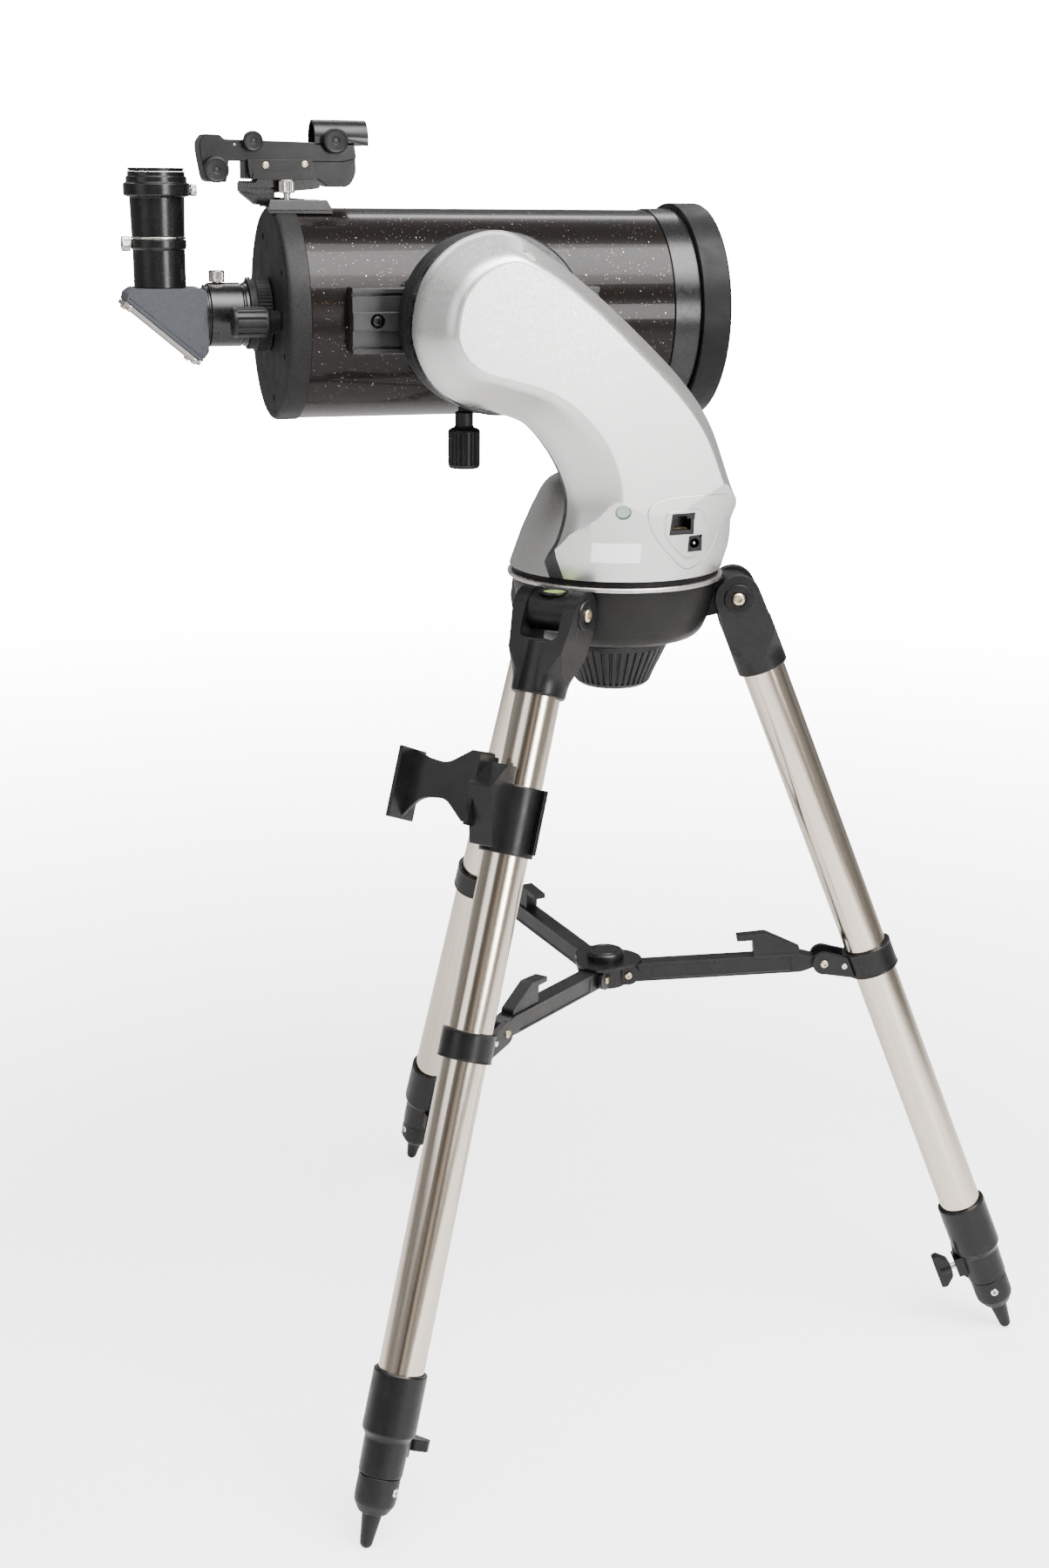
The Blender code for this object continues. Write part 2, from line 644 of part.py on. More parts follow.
def arm_pieces():
    body = "azimuth_axis"
    shell = loft(
        "arm_outer_shell",
        [arm_loop(ARM_BACK, 0), arm_loop(ARM_EDGE, 0), arm_loop(ARM_FACE + 0.002, 0.92), arm_loop(ARM_FACE, 1)],
    )
    heel = plate(
        "heel",
        [(-0.020, 0.610), (0.090, 0.610), (0.090, 0.680), (0.060, 0.690), (-0.020, 0.660)],
        ARM_BACK - 0.004,
        HEEL_BACK,
    )
    shell = common(fuse(shell, heel), foot_envelope("envelope"))
    head = (ALT_X, 0, OPTIC_Z)
    pocket = rod("pocket", 0.0450, -0.0800, -0.0400, head, "Y", MIDDLE_SIDES)
    bearing_seat = rod("bearing_seat", BEARING_R + 0.0020, BEARING_FROM - GAP, -0.0100, head, "Y", SIDES)
    neck = plate("neck", [(-0.060, 0.765), (-0.030, 0.690), (0.040, 0.690), (0.000, 0.765)], -0.076, -0.040)
    ports = [
        block("port", (x0 - GAP, -0.1, z0 - GAP), (x1 + GAP, front + PORT_DEPTH + GAP, z1 + GAP))
        for (x0, x1, z0, z1), front in ((HANDSET_PORT, HANDSET_FRONT), (POWER_PORT, POWER_FRONT))
    ]
    seat(cut(shell, pocket, bearing_seat, neck, *ports), "silver_paint", body)

    inner = loft(
        "arm_inner_shell",
        [arm_loop(INNER_BACK, 0, 0.0065), arm_loop(INNER_BACK - 0.0012, 0, 0.0040)]
        + [arm_loop(ARM_BACK + GAP, 0, 0.0010)],
    )
    inner = common(inner, foot_envelope("envelope"))
    clear = rod("clear", BEARING_R + 0.0020, -0.0600, 0.0100, head, "Y", SIDES)
    heel_space = plate(
        "heel_space",
        [(-0.0203, 0.60), (0.100, 0.60), (0.100, 0.6803), (0.0603, 0.6903), (-0.0203, 0.6603)],
        -0.060,
        HEEL_BACK + GAP,
    )
    seat(cut(inner, clear, heel_space), "dark_grey", body)

    dome = [
        (0, 0.6920),
        (0.0300, 0.6915),
        (0.0420, 0.6895),
        (0.0505, 0.6849),
        (0.0553, 0.6777),
        (0.0612, 0.6657),
        (0.0681, 0.6498),
        (0.0740, 0.6327),
        (0.0768, SHELL_FLOOR),
        (0, SHELL_FLOOR),
    ]
    cover = turned("base_cover", dome, sides=SIDES)
    front = block("front", (-0.1, -0.1, 0.6), (0.1, INNER_BACK + GAP, 0.7))
    heel_room = block("heel_room", (-0.0203, -0.1, 0.6), (0.1, HEEL_BACK + GAP, 0.7))
    room = turned("room", [(0, 0.684), (0.040, 0.682), (0.068, SHELL_FLOOR - 0.01), (0, SHELL_FLOOR - 0.01)])
    seat(cut(cover, front, heel_room, room), "silver_paint", body)

    x0, x1, z0, z1 = HANDSET_PORT
    handset = block("handset_socket", (x0, HANDSET_FRONT, z0), (x1, HANDSET_FRONT + PORT_DEPTH, z1))
    opening = block(
        "opening",
        (x0 + 0.0025, HANDSET_FRONT - 0.01, z0 + 0.0030),
        (x1 - 0.0025, HANDSET_FRONT + PORT_DEPTH - 0.002, z1 - 0.0025),
    )
    seat(cut(handset, opening), "plastic_black", body)
    x0, x1, z0, z1 = POWER_PORT
    power = block("power_socket", (x0, POWER_FRONT, z0), (x1, POWER_FRONT + PORT_DEPTH, z1))
    hole = rod("hole", 0.0036, POWER_FRONT - 0.01, POWER_FRONT + 0.010, ((x0 + x1) / 2, 0, (z0 + z1) / 2), "Y")
    seat(cut(power, hole), "plastic_black", body)

    table = [
        (0.0750, 0.6242),
        (0.0750, 0.6206),
        (0.0120, 0.6206),
        (0.0120, 0.6020),
        (0.0040, 0.6020),
        (0.0040, 0.6242),
    ]
    seat(turned("turntable", table, sides=SIDES, ring=True), "dark_grey", body)


# Tripod


def leg_frame(azimuth):
    """The leg's own frame: Z up along the leg, X outward, Y sideways, at its hinge."""
    return Matrix.Rotation(math.radians(azimuth), 4, "Z") @ Matrix.Translation((HINGE_R, 0, HINGE_Z)) @ (
        Matrix.Rotation(math.radians(-LEG_TILT), 4, "Y")
    )


def head_pieces():
    bowl = [
        (0.0740, 0.6168),
        (0.0725, 0.6050),
        (0.0690, 0.5900),
        (0.0650, 0.5800),
        (0.0600, 0.5750),
        (0.0540, 0.5735),
        (0.0055, 0.5735),
        (0.0055, 0.6010),
        (0.0125, 0.6010),
        (0.0125, 0.6168),
    ]
    head = turned("tripod_head", bowl, sides=SIDES, ring=True)
    lug_r, lug_half = 0.0140, 0.0143
    lug = [(0.0785, HINGE_Z + lug_r), (0.0785, 0.6166), (0.050, 0.6166), (0.050, 0.5840), (0.0740, 0.5905)]
    lug += arc((HINGE_R, HINGE_Z), lug_r, -70, 90, 8)
    lugs = []
    for azimuth in LEG_AZIMUTHS:
        made = plate("lug", lug, -lug_half, lug_half)
        made.data.transform(Matrix.Rotation(math.radians(azimuth), 4, "Z"))
        lugs.append(made)
    seat(fuse(head, *lugs), "plastic_black", "tripod_root")
    trim = [(0.0775, 0.6203), (0.0780, 0.6198), (0.0780, 0.6171), (0.0600, 0.6171), (0.0600, 0.6203)]
    seat(turned("trim_ring", trim, sides=SIDES, ring=True), "nickel", "tripod_root")
    knob = [
        (0, 0.5985),
        (0.0050, 0.5985),
        (0.0050, 0.5732),
        (0.0400, 0.5732),
        (0.0400, 0.5660),
        (0.0300, 0.5450),
        (0.0275, 0.5390),
        (0.0230, 0.5355),
        (0, 0.5350),
    ]
    seat(turned("mount_knob", knob, sides=MIDDLE_SIDES), "plastic_black", "mount_knob_axis")


def yoke(name):
    """The plastic fork that holds a leg tube to its lug. Its frame is the leg's, hinge at zero."""
    side = [(-0.0180, -0.0580), (0.0170, -0.0580), (0.0175, -0.0300), (0.0165, 0.0)]
    side += arc((0, 0), 0.0165, 0, 180, 10)
    side += [(-0.0185, -0.0220)]
    made = plate(name, side, -0.030, 0.030)
    front = [(-0.0190, -0.0590), (0.0190, -0.0590), (0.0215, -0.0250), (0.0245, -0.0040), (0.0245, 0.0200)]
    front += [(-0.0245, 0.0200), (-0.0245, -0.0040), (-0.0215, -0.0250)]
    made = common(made, plate("front", front, -0.030, 0.030, "YZ"))
    made = fuse(made, rod("sleeve", 0.0185, -0.0600, -0.0240, sides=LEG_SIDES))
    slot = block("slot", (-0.03, -0.0148, -0.0222), (0.03, 0.0148, 0.03))
    bore = rod("bore", LEG_TUBE_R + GAP, -0.0700, -0.0255, sides=LEG_SIDES)
    return cut(made, slot, bore)


def lower_clamp(name):
    """The clamp at a leg tube's lower end, with the boss for its knob on the inward side."""
    profile = [
        (0.0187, -0.5300),
        (0.0187, -0.5720),
        (0.0172, -0.5760),
        (0.0165, -0.6000),
        (INNER_R + GAP, -0.6000),
        (INNER_R + GAP, -0.5606),
        (LEG_TUBE_R + GAP, -0.5606),
        (LEG_TUBE_R + GAP, -0.5300),
    ]
    made = turned(name, profile, sides=LEG_SIDES, ring=True)
    boss = rod("boss", 0.0075, -0.0215, -0.0150, (0, 0, -CLAMP_S), "X", SCREW_SIDES)
    made = fuse(made, boss)
    hole = rod("hole", 0.0030, -0.0300, -0.0100, (0, 0, -CLAMP_S), "X", SCREW_SIDES)
    return cut(made, hole)


CLAMP_S = 0.5830
CLAMP_BOTTOM = 0.6000


def lower_leg(name):
    """The sliding inner tube with its foot."""
    ball = [
        (FOOT_BALL * math.cos(math.radians(a)), -FOOT_S + FOOT_BALL * math.sin(math.radians(a)))
        for a in (0, -22.1, -45, -67)
    ]
    profile = [
        (0, -0.6300),
        (INNER_R - 0.0015, -0.6100),
        (INNER_R - 0.0015, -0.1500),
        (INNER_R, -0.1500),
        (INNER_R, -CLAMP_BOTTOM - GAP),
        (0.0145, -CLAMP_BOTTOM - GAP),
        (0.0140, -0.6200),
        (0.0100, -0.6260),
        *ball,
        (0, -FOOT_S - FOOT_BALL),
    ]
    return turned(name, profile, sides=LEG_SIDES)


def clamp_knob(name):
    """A wing knob on a threaded stud, turning about X. Its own frame is on the stud's axis."""
    stud = rod("stud", 0.0026, -0.0270, -0.0135, axis="X", sides=SCREW_SIDES)
    wing = block("wing", (-0.0375, -0.0040, -0.0145), (-0.0255, 0.0040, 0.0145), 0.0015)
    made = fuse(wing, stud)
    made.name = made.data.name = name
    return made


def spreader_collar(name):
    made = ring(name, 0.0190, LEG_TUBE_R + GAP, -0.3150, -0.2950, sides=LEG_SIDES)
    for side in (-1, 1):
        outline = [(-0.0165, -0.3130), (-0.0165, -0.2965)]
        outline += arc((-SPREAD_IN, -SPREAD_S), 0.0085, 60, 250, 8)
        near, far = sorted((side * 0.0069, side * 0.0110))
        made = fuse(made, plate("ear", outline, near, far))
    return made


def leg_pieces(number, azimuth):
    frame = leg_frame(azimuth)
    hinge = pivot(f"leg_axis_{number}", frame.translation, "tripod_root")
    hinge.rotation_euler = frame.to_euler()
    parts = (
        (f"leg_yoke_{number}", yoke, "plastic_black"),
        (f"leg_tube_{number}", leg_tube, "steel"),
        (f"leg_clamp_{number}", lower_clamp, "plastic_black"),
        (f"lower_leg_{number}", lower_leg, "plastic_black"),
        (f"spreader_collar_{number}", spreader_collar, "plastic_black"),
        (f"clamp_knob_{number}", clamp_knob, "plastic_black"),
    )
    for name, shape, slot in parts:
        made = shape(name)
        made.data.materials.append(material(slot))
        made.parent = hinge
        if shape is clamp_knob:
            made.location = (0, 0, -CLAMP_S)
    if number == 1:
        holder = handset_holder()
        holder.data.materials.append(material("plastic_black"))
        holder.parent = hinge


def leg_tube(name):
    return ring(name, LEG_TUBE_R, LEG_TUBE_R - 0.0012, -0.5600, -0.0260, sides=LEG_SIDES)


def handset_holder():
    """A clip round the first leg's tube, with a bridge and a waisted plate that holds a handset."""
    clip = ring("handset_holder", 0.0195, LEG_TUBE_R + GAP, -0.1720, -0.1240, sides=LEG_SIDES)
    clip = cut(clip, block("mouth", (-0.030, 0.0030, -0.18), (-0.004, 0.030, -0.11)))
    lip = plate("lip", [(-0.0050, 0.0155), (-0.0030, 0.0185), (0.0040, 0.0250), (0.0060, 0.0245)]
                + [(0.0000, 0.0168)], -0.1580, -0.1240, "XY")
    bridge = plate(
        "bridge",
        [(0.0170, -0.1120), (0.0300, -0.1120), (0.0480, -0.1300), (0.0300, -0.1690), (0.0170, -0.1690)],
        -0.0130,
        0.0050,
    )
    spine = plate(
        "spine",
        [(-0.0100, -0.1060), (-0.0260, -0.1060), (-0.0440, -0.1180), (-0.0600, -0.1160), (-0.0720, -0.1120)]
        + [(-0.0720, -0.1600), (-0.0600, -0.1440), (-0.0400, -0.1420), (-0.0240, -0.1560), (-0.0100, -0.1560)],
        0.0240,
        0.0280,
        "YZ",
    )
    flange = block("flange", (0.0120, -0.0745, -0.1620), (0.0440, -0.0715, -0.1120))
    inner_flange = block("inner_flange", (0.0180, -0.0130, -0.1580), (0.0440, -0.0100, -0.1080))
    return fuse(clip, lip, bridge, spine, flange, inner_flange)


def hub_pieces():
    lobes = []
    for azimuth in range(0, 360, 10):
        swell = 0.5 + 0.5 * math.cos(math.radians(3 * (azimuth - LEG_AZIMUTHS[0])))
        radius = 0.0225 + 0.0055 * swell
        lobes.append((radius * math.cos(math.radians(azimuth)), radius * math.sin(math.radians(azimuth))))
    hub = plate("spreader_hub", lobes, 0.2980, 0.3175, "XY")
    slots = []
    for azimuth in LEG_AZIMUTHS:
        slot = block("slot", (0.0080, -ARM_W / 2 - 0.0005, 0.29), (0.04, ARM_W / 2 + 0.0005, 0.3158))
        slot.data.transform(Matrix.Rotation(math.radians(azimuth), 4, "Z"))
        slots.append(slot)
    hub = fuse(cut(hub, *slots), rod("cap", 0.0130, 0.3160, 0.3240, sides=SMALL_SIDES))
    seat(hub, "plastic_black", "spreader_slide")
    for number, azimuth in enumerate(LEG_AZIMUTHS, 1):
        turn = Matrix.Rotation(math.radians(azimuth), 4, "Z")
        hinge = pivot(f"spreader_axis_{number}", turn @ Vector((HUB_PIVOT_R, 0, HUB_Z)), "spreader_slide")
        hinge.rotation_euler = (0, -SPREAD_RISE, math.radians(azimuth))
        arm = spreader_arm(f"spreader_arm_{number}")
        arm.data.materials.append(material("plastic_black"))
        arm.parent = hinge


def spreader_geometry():
    """Length between a spreader arm's pivots, and its rise towards the leg."""
    tilt = math.radians(LEG_TILT)
    out = HINGE_R + SPREAD_S * math.sin(tilt) - SPREAD_IN * math.cos(tilt) - HUB_PIVOT_R
    up = HINGE_Z - SPREAD_S * math.cos(tilt) - SPREAD_IN * math.sin(tilt) - HUB_Z
    return math.hypot(out, up), math.atan2(up, out)


SPREAD_LENGTH, SPREAD_RISE = spreader_geometry()


def spreader_arm(name):
    """An arm along +X from the hub's pivot, with the hook for the tray on its top."""
    half, end = ARM_H / 2, SPREAD_LENGTH - 0.005
    outline = arc((0, 0), half, 90, 270, 6) + [(end - 0.012, -half)]
    outline += arc((end - 0.0045, 0), 0.0045, -90, 90, 6) + [(end - 0.012, half)]
    made = plate(name, outline, -ARM_W / 2, ARM_W / 2)
    hook = [(0.0980, half - 0.001), (0.0980, 0.0200), (0.0860, 0.0200), (0.0860, 0.0240), (0.1080, 0.0250)]
    hook += [(0.1340, 0.0110), (0.1340, half - 0.001)]
    return fuse(made, plate("hook", hook, -0.0050, 0.0050))


def build():
    pivot("tripod_root", (0, 0, 0))
    pivot("azimuth_axis", (0, 0, 0.6206), "tripod_root")
    pivot("altitude_axis", (ALT_X, 0, OPTIC_Z), "azimuth_axis")
    pivot("cap_slide", optic(RING_FRONT), "altitude_axis")
    pivot("focus_axis", (-0.250, FOCUS_Y, FOCUS_Z), "altitude_axis")
    pivot("back_screw_axis", optic(BACK_SCREW_X), "altitude_axis")
    pivot("diagonal_axis", optic(EYE_X), "altitude_axis")
    pivot("eye_screw_axis", (EYE_X, OPTIC_Y, EYE_SCREW_Z), "diagonal_axis")
    pivot("barlow_slide", (EYE_X, OPTIC_Y, 0.850), "diagonal_axis")
    pivot("barlow_screw_axis", (EYE_X, OPTIC_Y, BARLOW_SCREW_Z), "barlow_slide")
    pivot("shoe_screw_axis", (SHOE_SCREW_X, SHOE_SCREW_Y, 0.880), "altitude_axis")
    pivot("finder_power_knob_axis", (POWER_KNOB[0], 0.060, POWER_KNOB[1]), "altitude_axis")
    pivot("finder_tilt_knob_axis", (TILT_KNOB[0], 0.060, TILT_KNOB[1]), "altitude_axis")
    pivot("saddle_knob_axis", (KNOB_X, KNOB_Y, 0.740), "altitude_axis")
    pivot("mount_knob_axis", (0, 0, 0.573), "tripod_root")
    pivot("spreader_slide", (0, 0, HUB_Z), "tripod_root")
    tube_pieces()
    rear_pieces()
    diagonal_pieces()
    finder_pieces()
    saddle_pieces()
    arm_pieces()
    head_pieces()
    for number, azimuth in enumerate(LEG_AZIMUTHS, 1):
        leg_pieces(number, azimuth)
    hub_pieces()


build()
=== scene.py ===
"""Looks of the telescope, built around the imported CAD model. Metres, in the model's own frame."""

import json
import math

import bmesh
import bpy
from mathutils import Matrix, Vector
from mathutils.bvhtree import BVHTree


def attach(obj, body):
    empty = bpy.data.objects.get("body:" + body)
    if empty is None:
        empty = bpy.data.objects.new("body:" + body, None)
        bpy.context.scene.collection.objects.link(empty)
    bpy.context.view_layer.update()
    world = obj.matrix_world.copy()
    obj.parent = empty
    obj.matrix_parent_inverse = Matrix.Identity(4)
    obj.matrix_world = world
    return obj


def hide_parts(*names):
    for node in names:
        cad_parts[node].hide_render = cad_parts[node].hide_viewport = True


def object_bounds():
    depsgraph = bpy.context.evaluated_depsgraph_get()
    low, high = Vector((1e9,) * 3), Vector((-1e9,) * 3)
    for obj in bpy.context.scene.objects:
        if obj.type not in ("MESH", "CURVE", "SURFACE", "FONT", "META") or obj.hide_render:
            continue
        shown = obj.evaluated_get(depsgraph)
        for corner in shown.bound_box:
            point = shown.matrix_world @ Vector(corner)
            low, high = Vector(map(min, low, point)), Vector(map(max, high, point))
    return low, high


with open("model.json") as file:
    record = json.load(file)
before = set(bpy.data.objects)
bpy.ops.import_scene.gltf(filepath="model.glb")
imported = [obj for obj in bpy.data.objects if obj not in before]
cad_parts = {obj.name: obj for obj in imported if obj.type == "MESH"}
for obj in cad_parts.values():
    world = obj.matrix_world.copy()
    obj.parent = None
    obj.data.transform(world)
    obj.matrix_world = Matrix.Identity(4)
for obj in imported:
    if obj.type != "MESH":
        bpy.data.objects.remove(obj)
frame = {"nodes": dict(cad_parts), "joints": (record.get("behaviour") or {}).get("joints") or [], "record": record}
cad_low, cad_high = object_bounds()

NODES = frame["nodes"]
JOINTS = {joint["name"]: joint for joint in frame["joints"]}
AXIS_X, AXIS_Y = JOINTS["azimuth_turn"]["pos_m"][:2]


def shifted(x, y, z):
    return Matrix.Translation((x, y, z))


def turned(degrees, axis):
    return Matrix.Rotation(math.radians(degrees), 4, axis)


WORLD = shifted(AXIS_X, AXIS_Y, 0)  # shapes are made round the azimuth axis


# Materials


class Paint:
    """A Principled material whose detail comes from nodes, in the piece's own metres."""

    def __init__(self, name, colour, roughness, metallic=0.0, **fixed):
        self.made = bpy.data.materials.new(name)
        self.made.use_nodes = True
        self.tree = self.made.node_tree
        self.shader = self.tree.nodes["Principled BSDF"]
        self.colour, self.roughness = (*colour, 1), roughness
        self.set("Base Color", self.colour)
        self.set("Roughness", roughness)
        self.set("Metallic", metallic)
        for socket, value in fixed.items():
            self.set(socket.replace("_", " "), value)
        self.place = self.node("ShaderNodeTexCoord").outputs["Object"]
        self.height = None

    def set(self, socket, value):
        self.shader.inputs[socket].default_value = value

    def node(self, kind, inputs=(), **settings):
        made = self.tree.nodes.new(kind)
        for key, value in settings.items():
            setattr(made, key, value)
        for key, value in dict(inputs).items():
            if isinstance(value, bpy.types.NodeSocket):
                self.tree.links.new(value, made.inputs[key])
            else:
                made.inputs[key].default_value = value
        return made

    def wire(self, output, socket):
        self.tree.links.new(output, self.shader.inputs[socket])

    def stretched(self, scale):
        """Coordinates scaled by axis, for streaks and brushed lines."""
        return self.node("ShaderNodeMapping", {"Vector": self.place, "Scale": scale}).outputs[0]

    def noise(self, scale, detail=3.0, rough=0.55, place=None):
        where = {"Vector": place or self.place, "Scale": scale, "Detail": detail, "Roughness": rough}
        return self.node("ShaderNodeTexNoise", where).outputs["Fac"]

    def spread(self, value, low, high, start=0.3, end=0.7):
        """Maps start to end onto low to high, held at both ends."""
        inputs = {"Value": value, "From Min": start, "From Max": end, "To Min": low, "To Max": high}
        return self.node("ShaderNodeMapRange", inputs).outputs[0]

    def mixed(self, share, first, second):
        made = self.node("ShaderNodeMix", {0: share}, data_type="RGBA")
        for index, value in ((6, first), (7, second)):
            if isinstance(value, bpy.types.NodeSocket):
                self.tree.links.new(value, made.inputs[index])
            else:
                made.inputs[index].default_value = (*value[:3], 1)
        return made.outputs[2]

    def math(self, operation, first, second=0.0):
        return self.node("ShaderNodeMath", {0: first, 1: second}, operation=operation).outputs[0]

    def vary(self, scale, low, high, place=None):
        """Roughness that wanders between two values."""
        self.wire(self.spread(self.noise(scale, 4.0, 0.6, place), low, high), "Roughness")

    def tint(self, scale, other, place=None):
        """Colour that wanders towards another."""
        share = self.spread(self.noise(scale, 5.0, 0.6, place), 0.0, 1.0)
        self.wire(self.mixed(share, self.colour, other), "Base Color")

    def relief(self, value, distance, strength=1.0):
        """Adds a height in metres to the bump."""
        inputs = {"Height": value, "Distance": distance, "Strength": strength}
        if self.height:
            inputs["Normal"] = self.height
        self.height = self.node("ShaderNodeBump", inputs).outputs[0]
        self.wire(self.height, "Normal")

    def flakes(self, scale, size, share):
        """Small round specks: 1 on a speck and 0 between them, with each cell's random colour."""
        cells = self.node("ShaderNodeTexVoronoi", {"Vector": self.place, "Scale": scale})
        parts = self.node("ShaderNodeSeparateColor", {0: cells.outputs["Color"]})
        small = self.math(
            "LESS_THAN", cells.outputs["Distance"], self.math("MULTIPLY", parts.outputs[1], size)
        )
        some = self.math("LESS_THAN", parts.outputs[0], share)
        return self.math("MULTIPLY", small, some), parts


def gloss_flake():
    paint = Paint(
        "tube_lacquer", (0.005, 0.0042, 0.0038), 0.24, Specular_IOR_Level=0.1,
        Coat_Weight=0.26, Coat_Roughness=0.035, Coat_IOR=1.36,
    )
    fine, parts = paint.flakes(950.0, 0.22, 0.3)
    big, others = paint.flakes(330.0, 0.13, 0.3)
    warm, pale = (0.6, 0.24, 0.09), (0.85, 0.8, 0.74)
    tone = paint.mixed(paint.spread(parts.outputs[2], 0, 1, 0.45, 0.55), warm, pale)
    other_tone = paint.mixed(paint.spread(others.outputs[2], 0, 1, 0.55, 0.65), pale, warm)
    cloud = paint.spread(paint.noise(14.0, 2.0), 0.35, 1.0)
    ground = paint.mixed(paint.math("MULTIPLY", fine, cloud), paint.colour, tone)
    paint.wire(paint.mixed(big, ground, other_tone), "Base Color")
    paint.wire(paint.math("MULTIPLY", paint.math("MAXIMUM", fine, big), 0.55), "Metallic")
    paint.relief(paint.noise(26.0, 2.0), 0.00012, 0.25)
    return paint.made


def cast_charcoal():
    paint = Paint("cast_charcoal", (0.005, 0.005, 0.0054), 0.48, Specular_IOR_Level=0.18)
    paint.tint(900.0, (0.014, 0.014, 0.0145))
    paint.vary(60.0, 0.44, 0.6)
    paint.relief(paint.noise(1500.0, 3.0, 0.6), 0.00016, 0.55)
    paint.relief(paint.noise(420.0, 2.0), 0.0001, 0.4)
    return paint.made


def moulded(name, colour, roughness, grain=1600.0, depth=0.00006, light=1.8, **fixed):
    """Moulded plastic: fine grain, a little wear on the roughness and the colour."""
    paint = Paint(name, colour, roughness, **fixed)
    paint.tint(38.0, tuple(c * light + 0.0004 for c in colour))
    paint.vary(70.0, roughness * 0.82, roughness * 1.22)
    paint.relief(paint.noise(grain, 2.0, 0.5), depth, 0.6)
    paint.relief(paint.noise(45.0, 2.0), 0.0003, 0.04)
    return paint.made


def anodised():
    paint = Paint("satin_anodised", (0.005, 0.005, 0.0055), 0.28, 0.3, Specular_IOR_Level=0.5)
    paint.tint(55.0, (0.009, 0.009, 0.0095))
    paint.vary(240.0, 0.22, 0.3)
    paint.relief(paint.noise(2600.0, 2.0), 0.00002, 0.2)
    return paint.made


def cast_bluegrey():
    paint = Paint("cast_bluegrey", (0.026, 0.029, 0.036), 0.5, 0.15, Specular_IOR_Level=0.35)
    paint.tint(1400.0, (0.052, 0.057, 0.067))
    paint.vary(50.0, 0.42, 0.58)
    paint.relief(paint.noise(1900.0, 3.0, 0.65), 0.00012, 0.6)
    return paint.made


def silver_metallic():
    paint = Paint("metallic_silver", (0.62, 0.62, 0.612), 0.34, 0.9, Coat_Weight=0.25, Coat_Roughness=0.16)
    fine, parts = paint.flakes(1500.0, 0.5, 0.42)
    tone = paint.mixed(parts.outputs[2], (0.4, 0.4, 0.395), (0.92, 0.92, 0.91))
    wide = paint.mixed(
        paint.spread(paint.noise(9.0, 3.0), 0, 1), (0.575, 0.578, 0.572), (0.635, 0.63, 0.62)
    )
    paint.wire(paint.mixed(paint.math("MULTIPLY", fine, 0.75), wide, tone), "Base Color")
    paint.wire(paint.spread(parts.outputs[1], 0.3, 0.46, 0.0, 1.0), "Roughness")
    paint.relief(paint.noise(1300.0, 2.0), 0.00005, 0.35)
    paint.relief(paint.noise(22.0, 2.0), 0.0006, 0.08)
    return paint.made


def drawn_steel():
    paint = Paint("drawn_steel", (0.71, 0.63, 0.535), 0.12, 1.0, Anisotropic=0.35)
    lines = paint.stretched((1.0, 1.0, 0.012))
    paint.tint(260.0, (0.6, 0.525, 0.435), lines)
    paint.wire(paint.spread(paint.noise(420.0, 3.0, 0.6, lines), 0.1, 0.24), "Roughness")
    paint.relief(paint.noise(900.0, 2.0, 0.5, lines), 0.00003, 0.35)
    paint.relief(paint.noise(60.0, 2.0, 0.5, lines), 0.0002, 0.2)
    return paint.made


def plated(name, colour, roughness):
    paint = Paint(name, colour, roughness, 1.0)
    paint.tint(300.0, tuple(c * 0.82 for c in colour))
    paint.vary(500.0, roughness * 0.7, roughness * 1.5)
    paint.relief(paint.noise(1800.0, 2.0), 0.00004, 0.4)
    return paint.made


def clear_glass():
    paint = Paint(
        "coated_glass", (0.86, 0.95, 0.93), 0.03, Transmission_Weight=0.9, IOR=1.5, Coat_Weight=0.4
    )
    paint.tint(25.0, (0.8, 0.92, 0.93))
    return paint.made


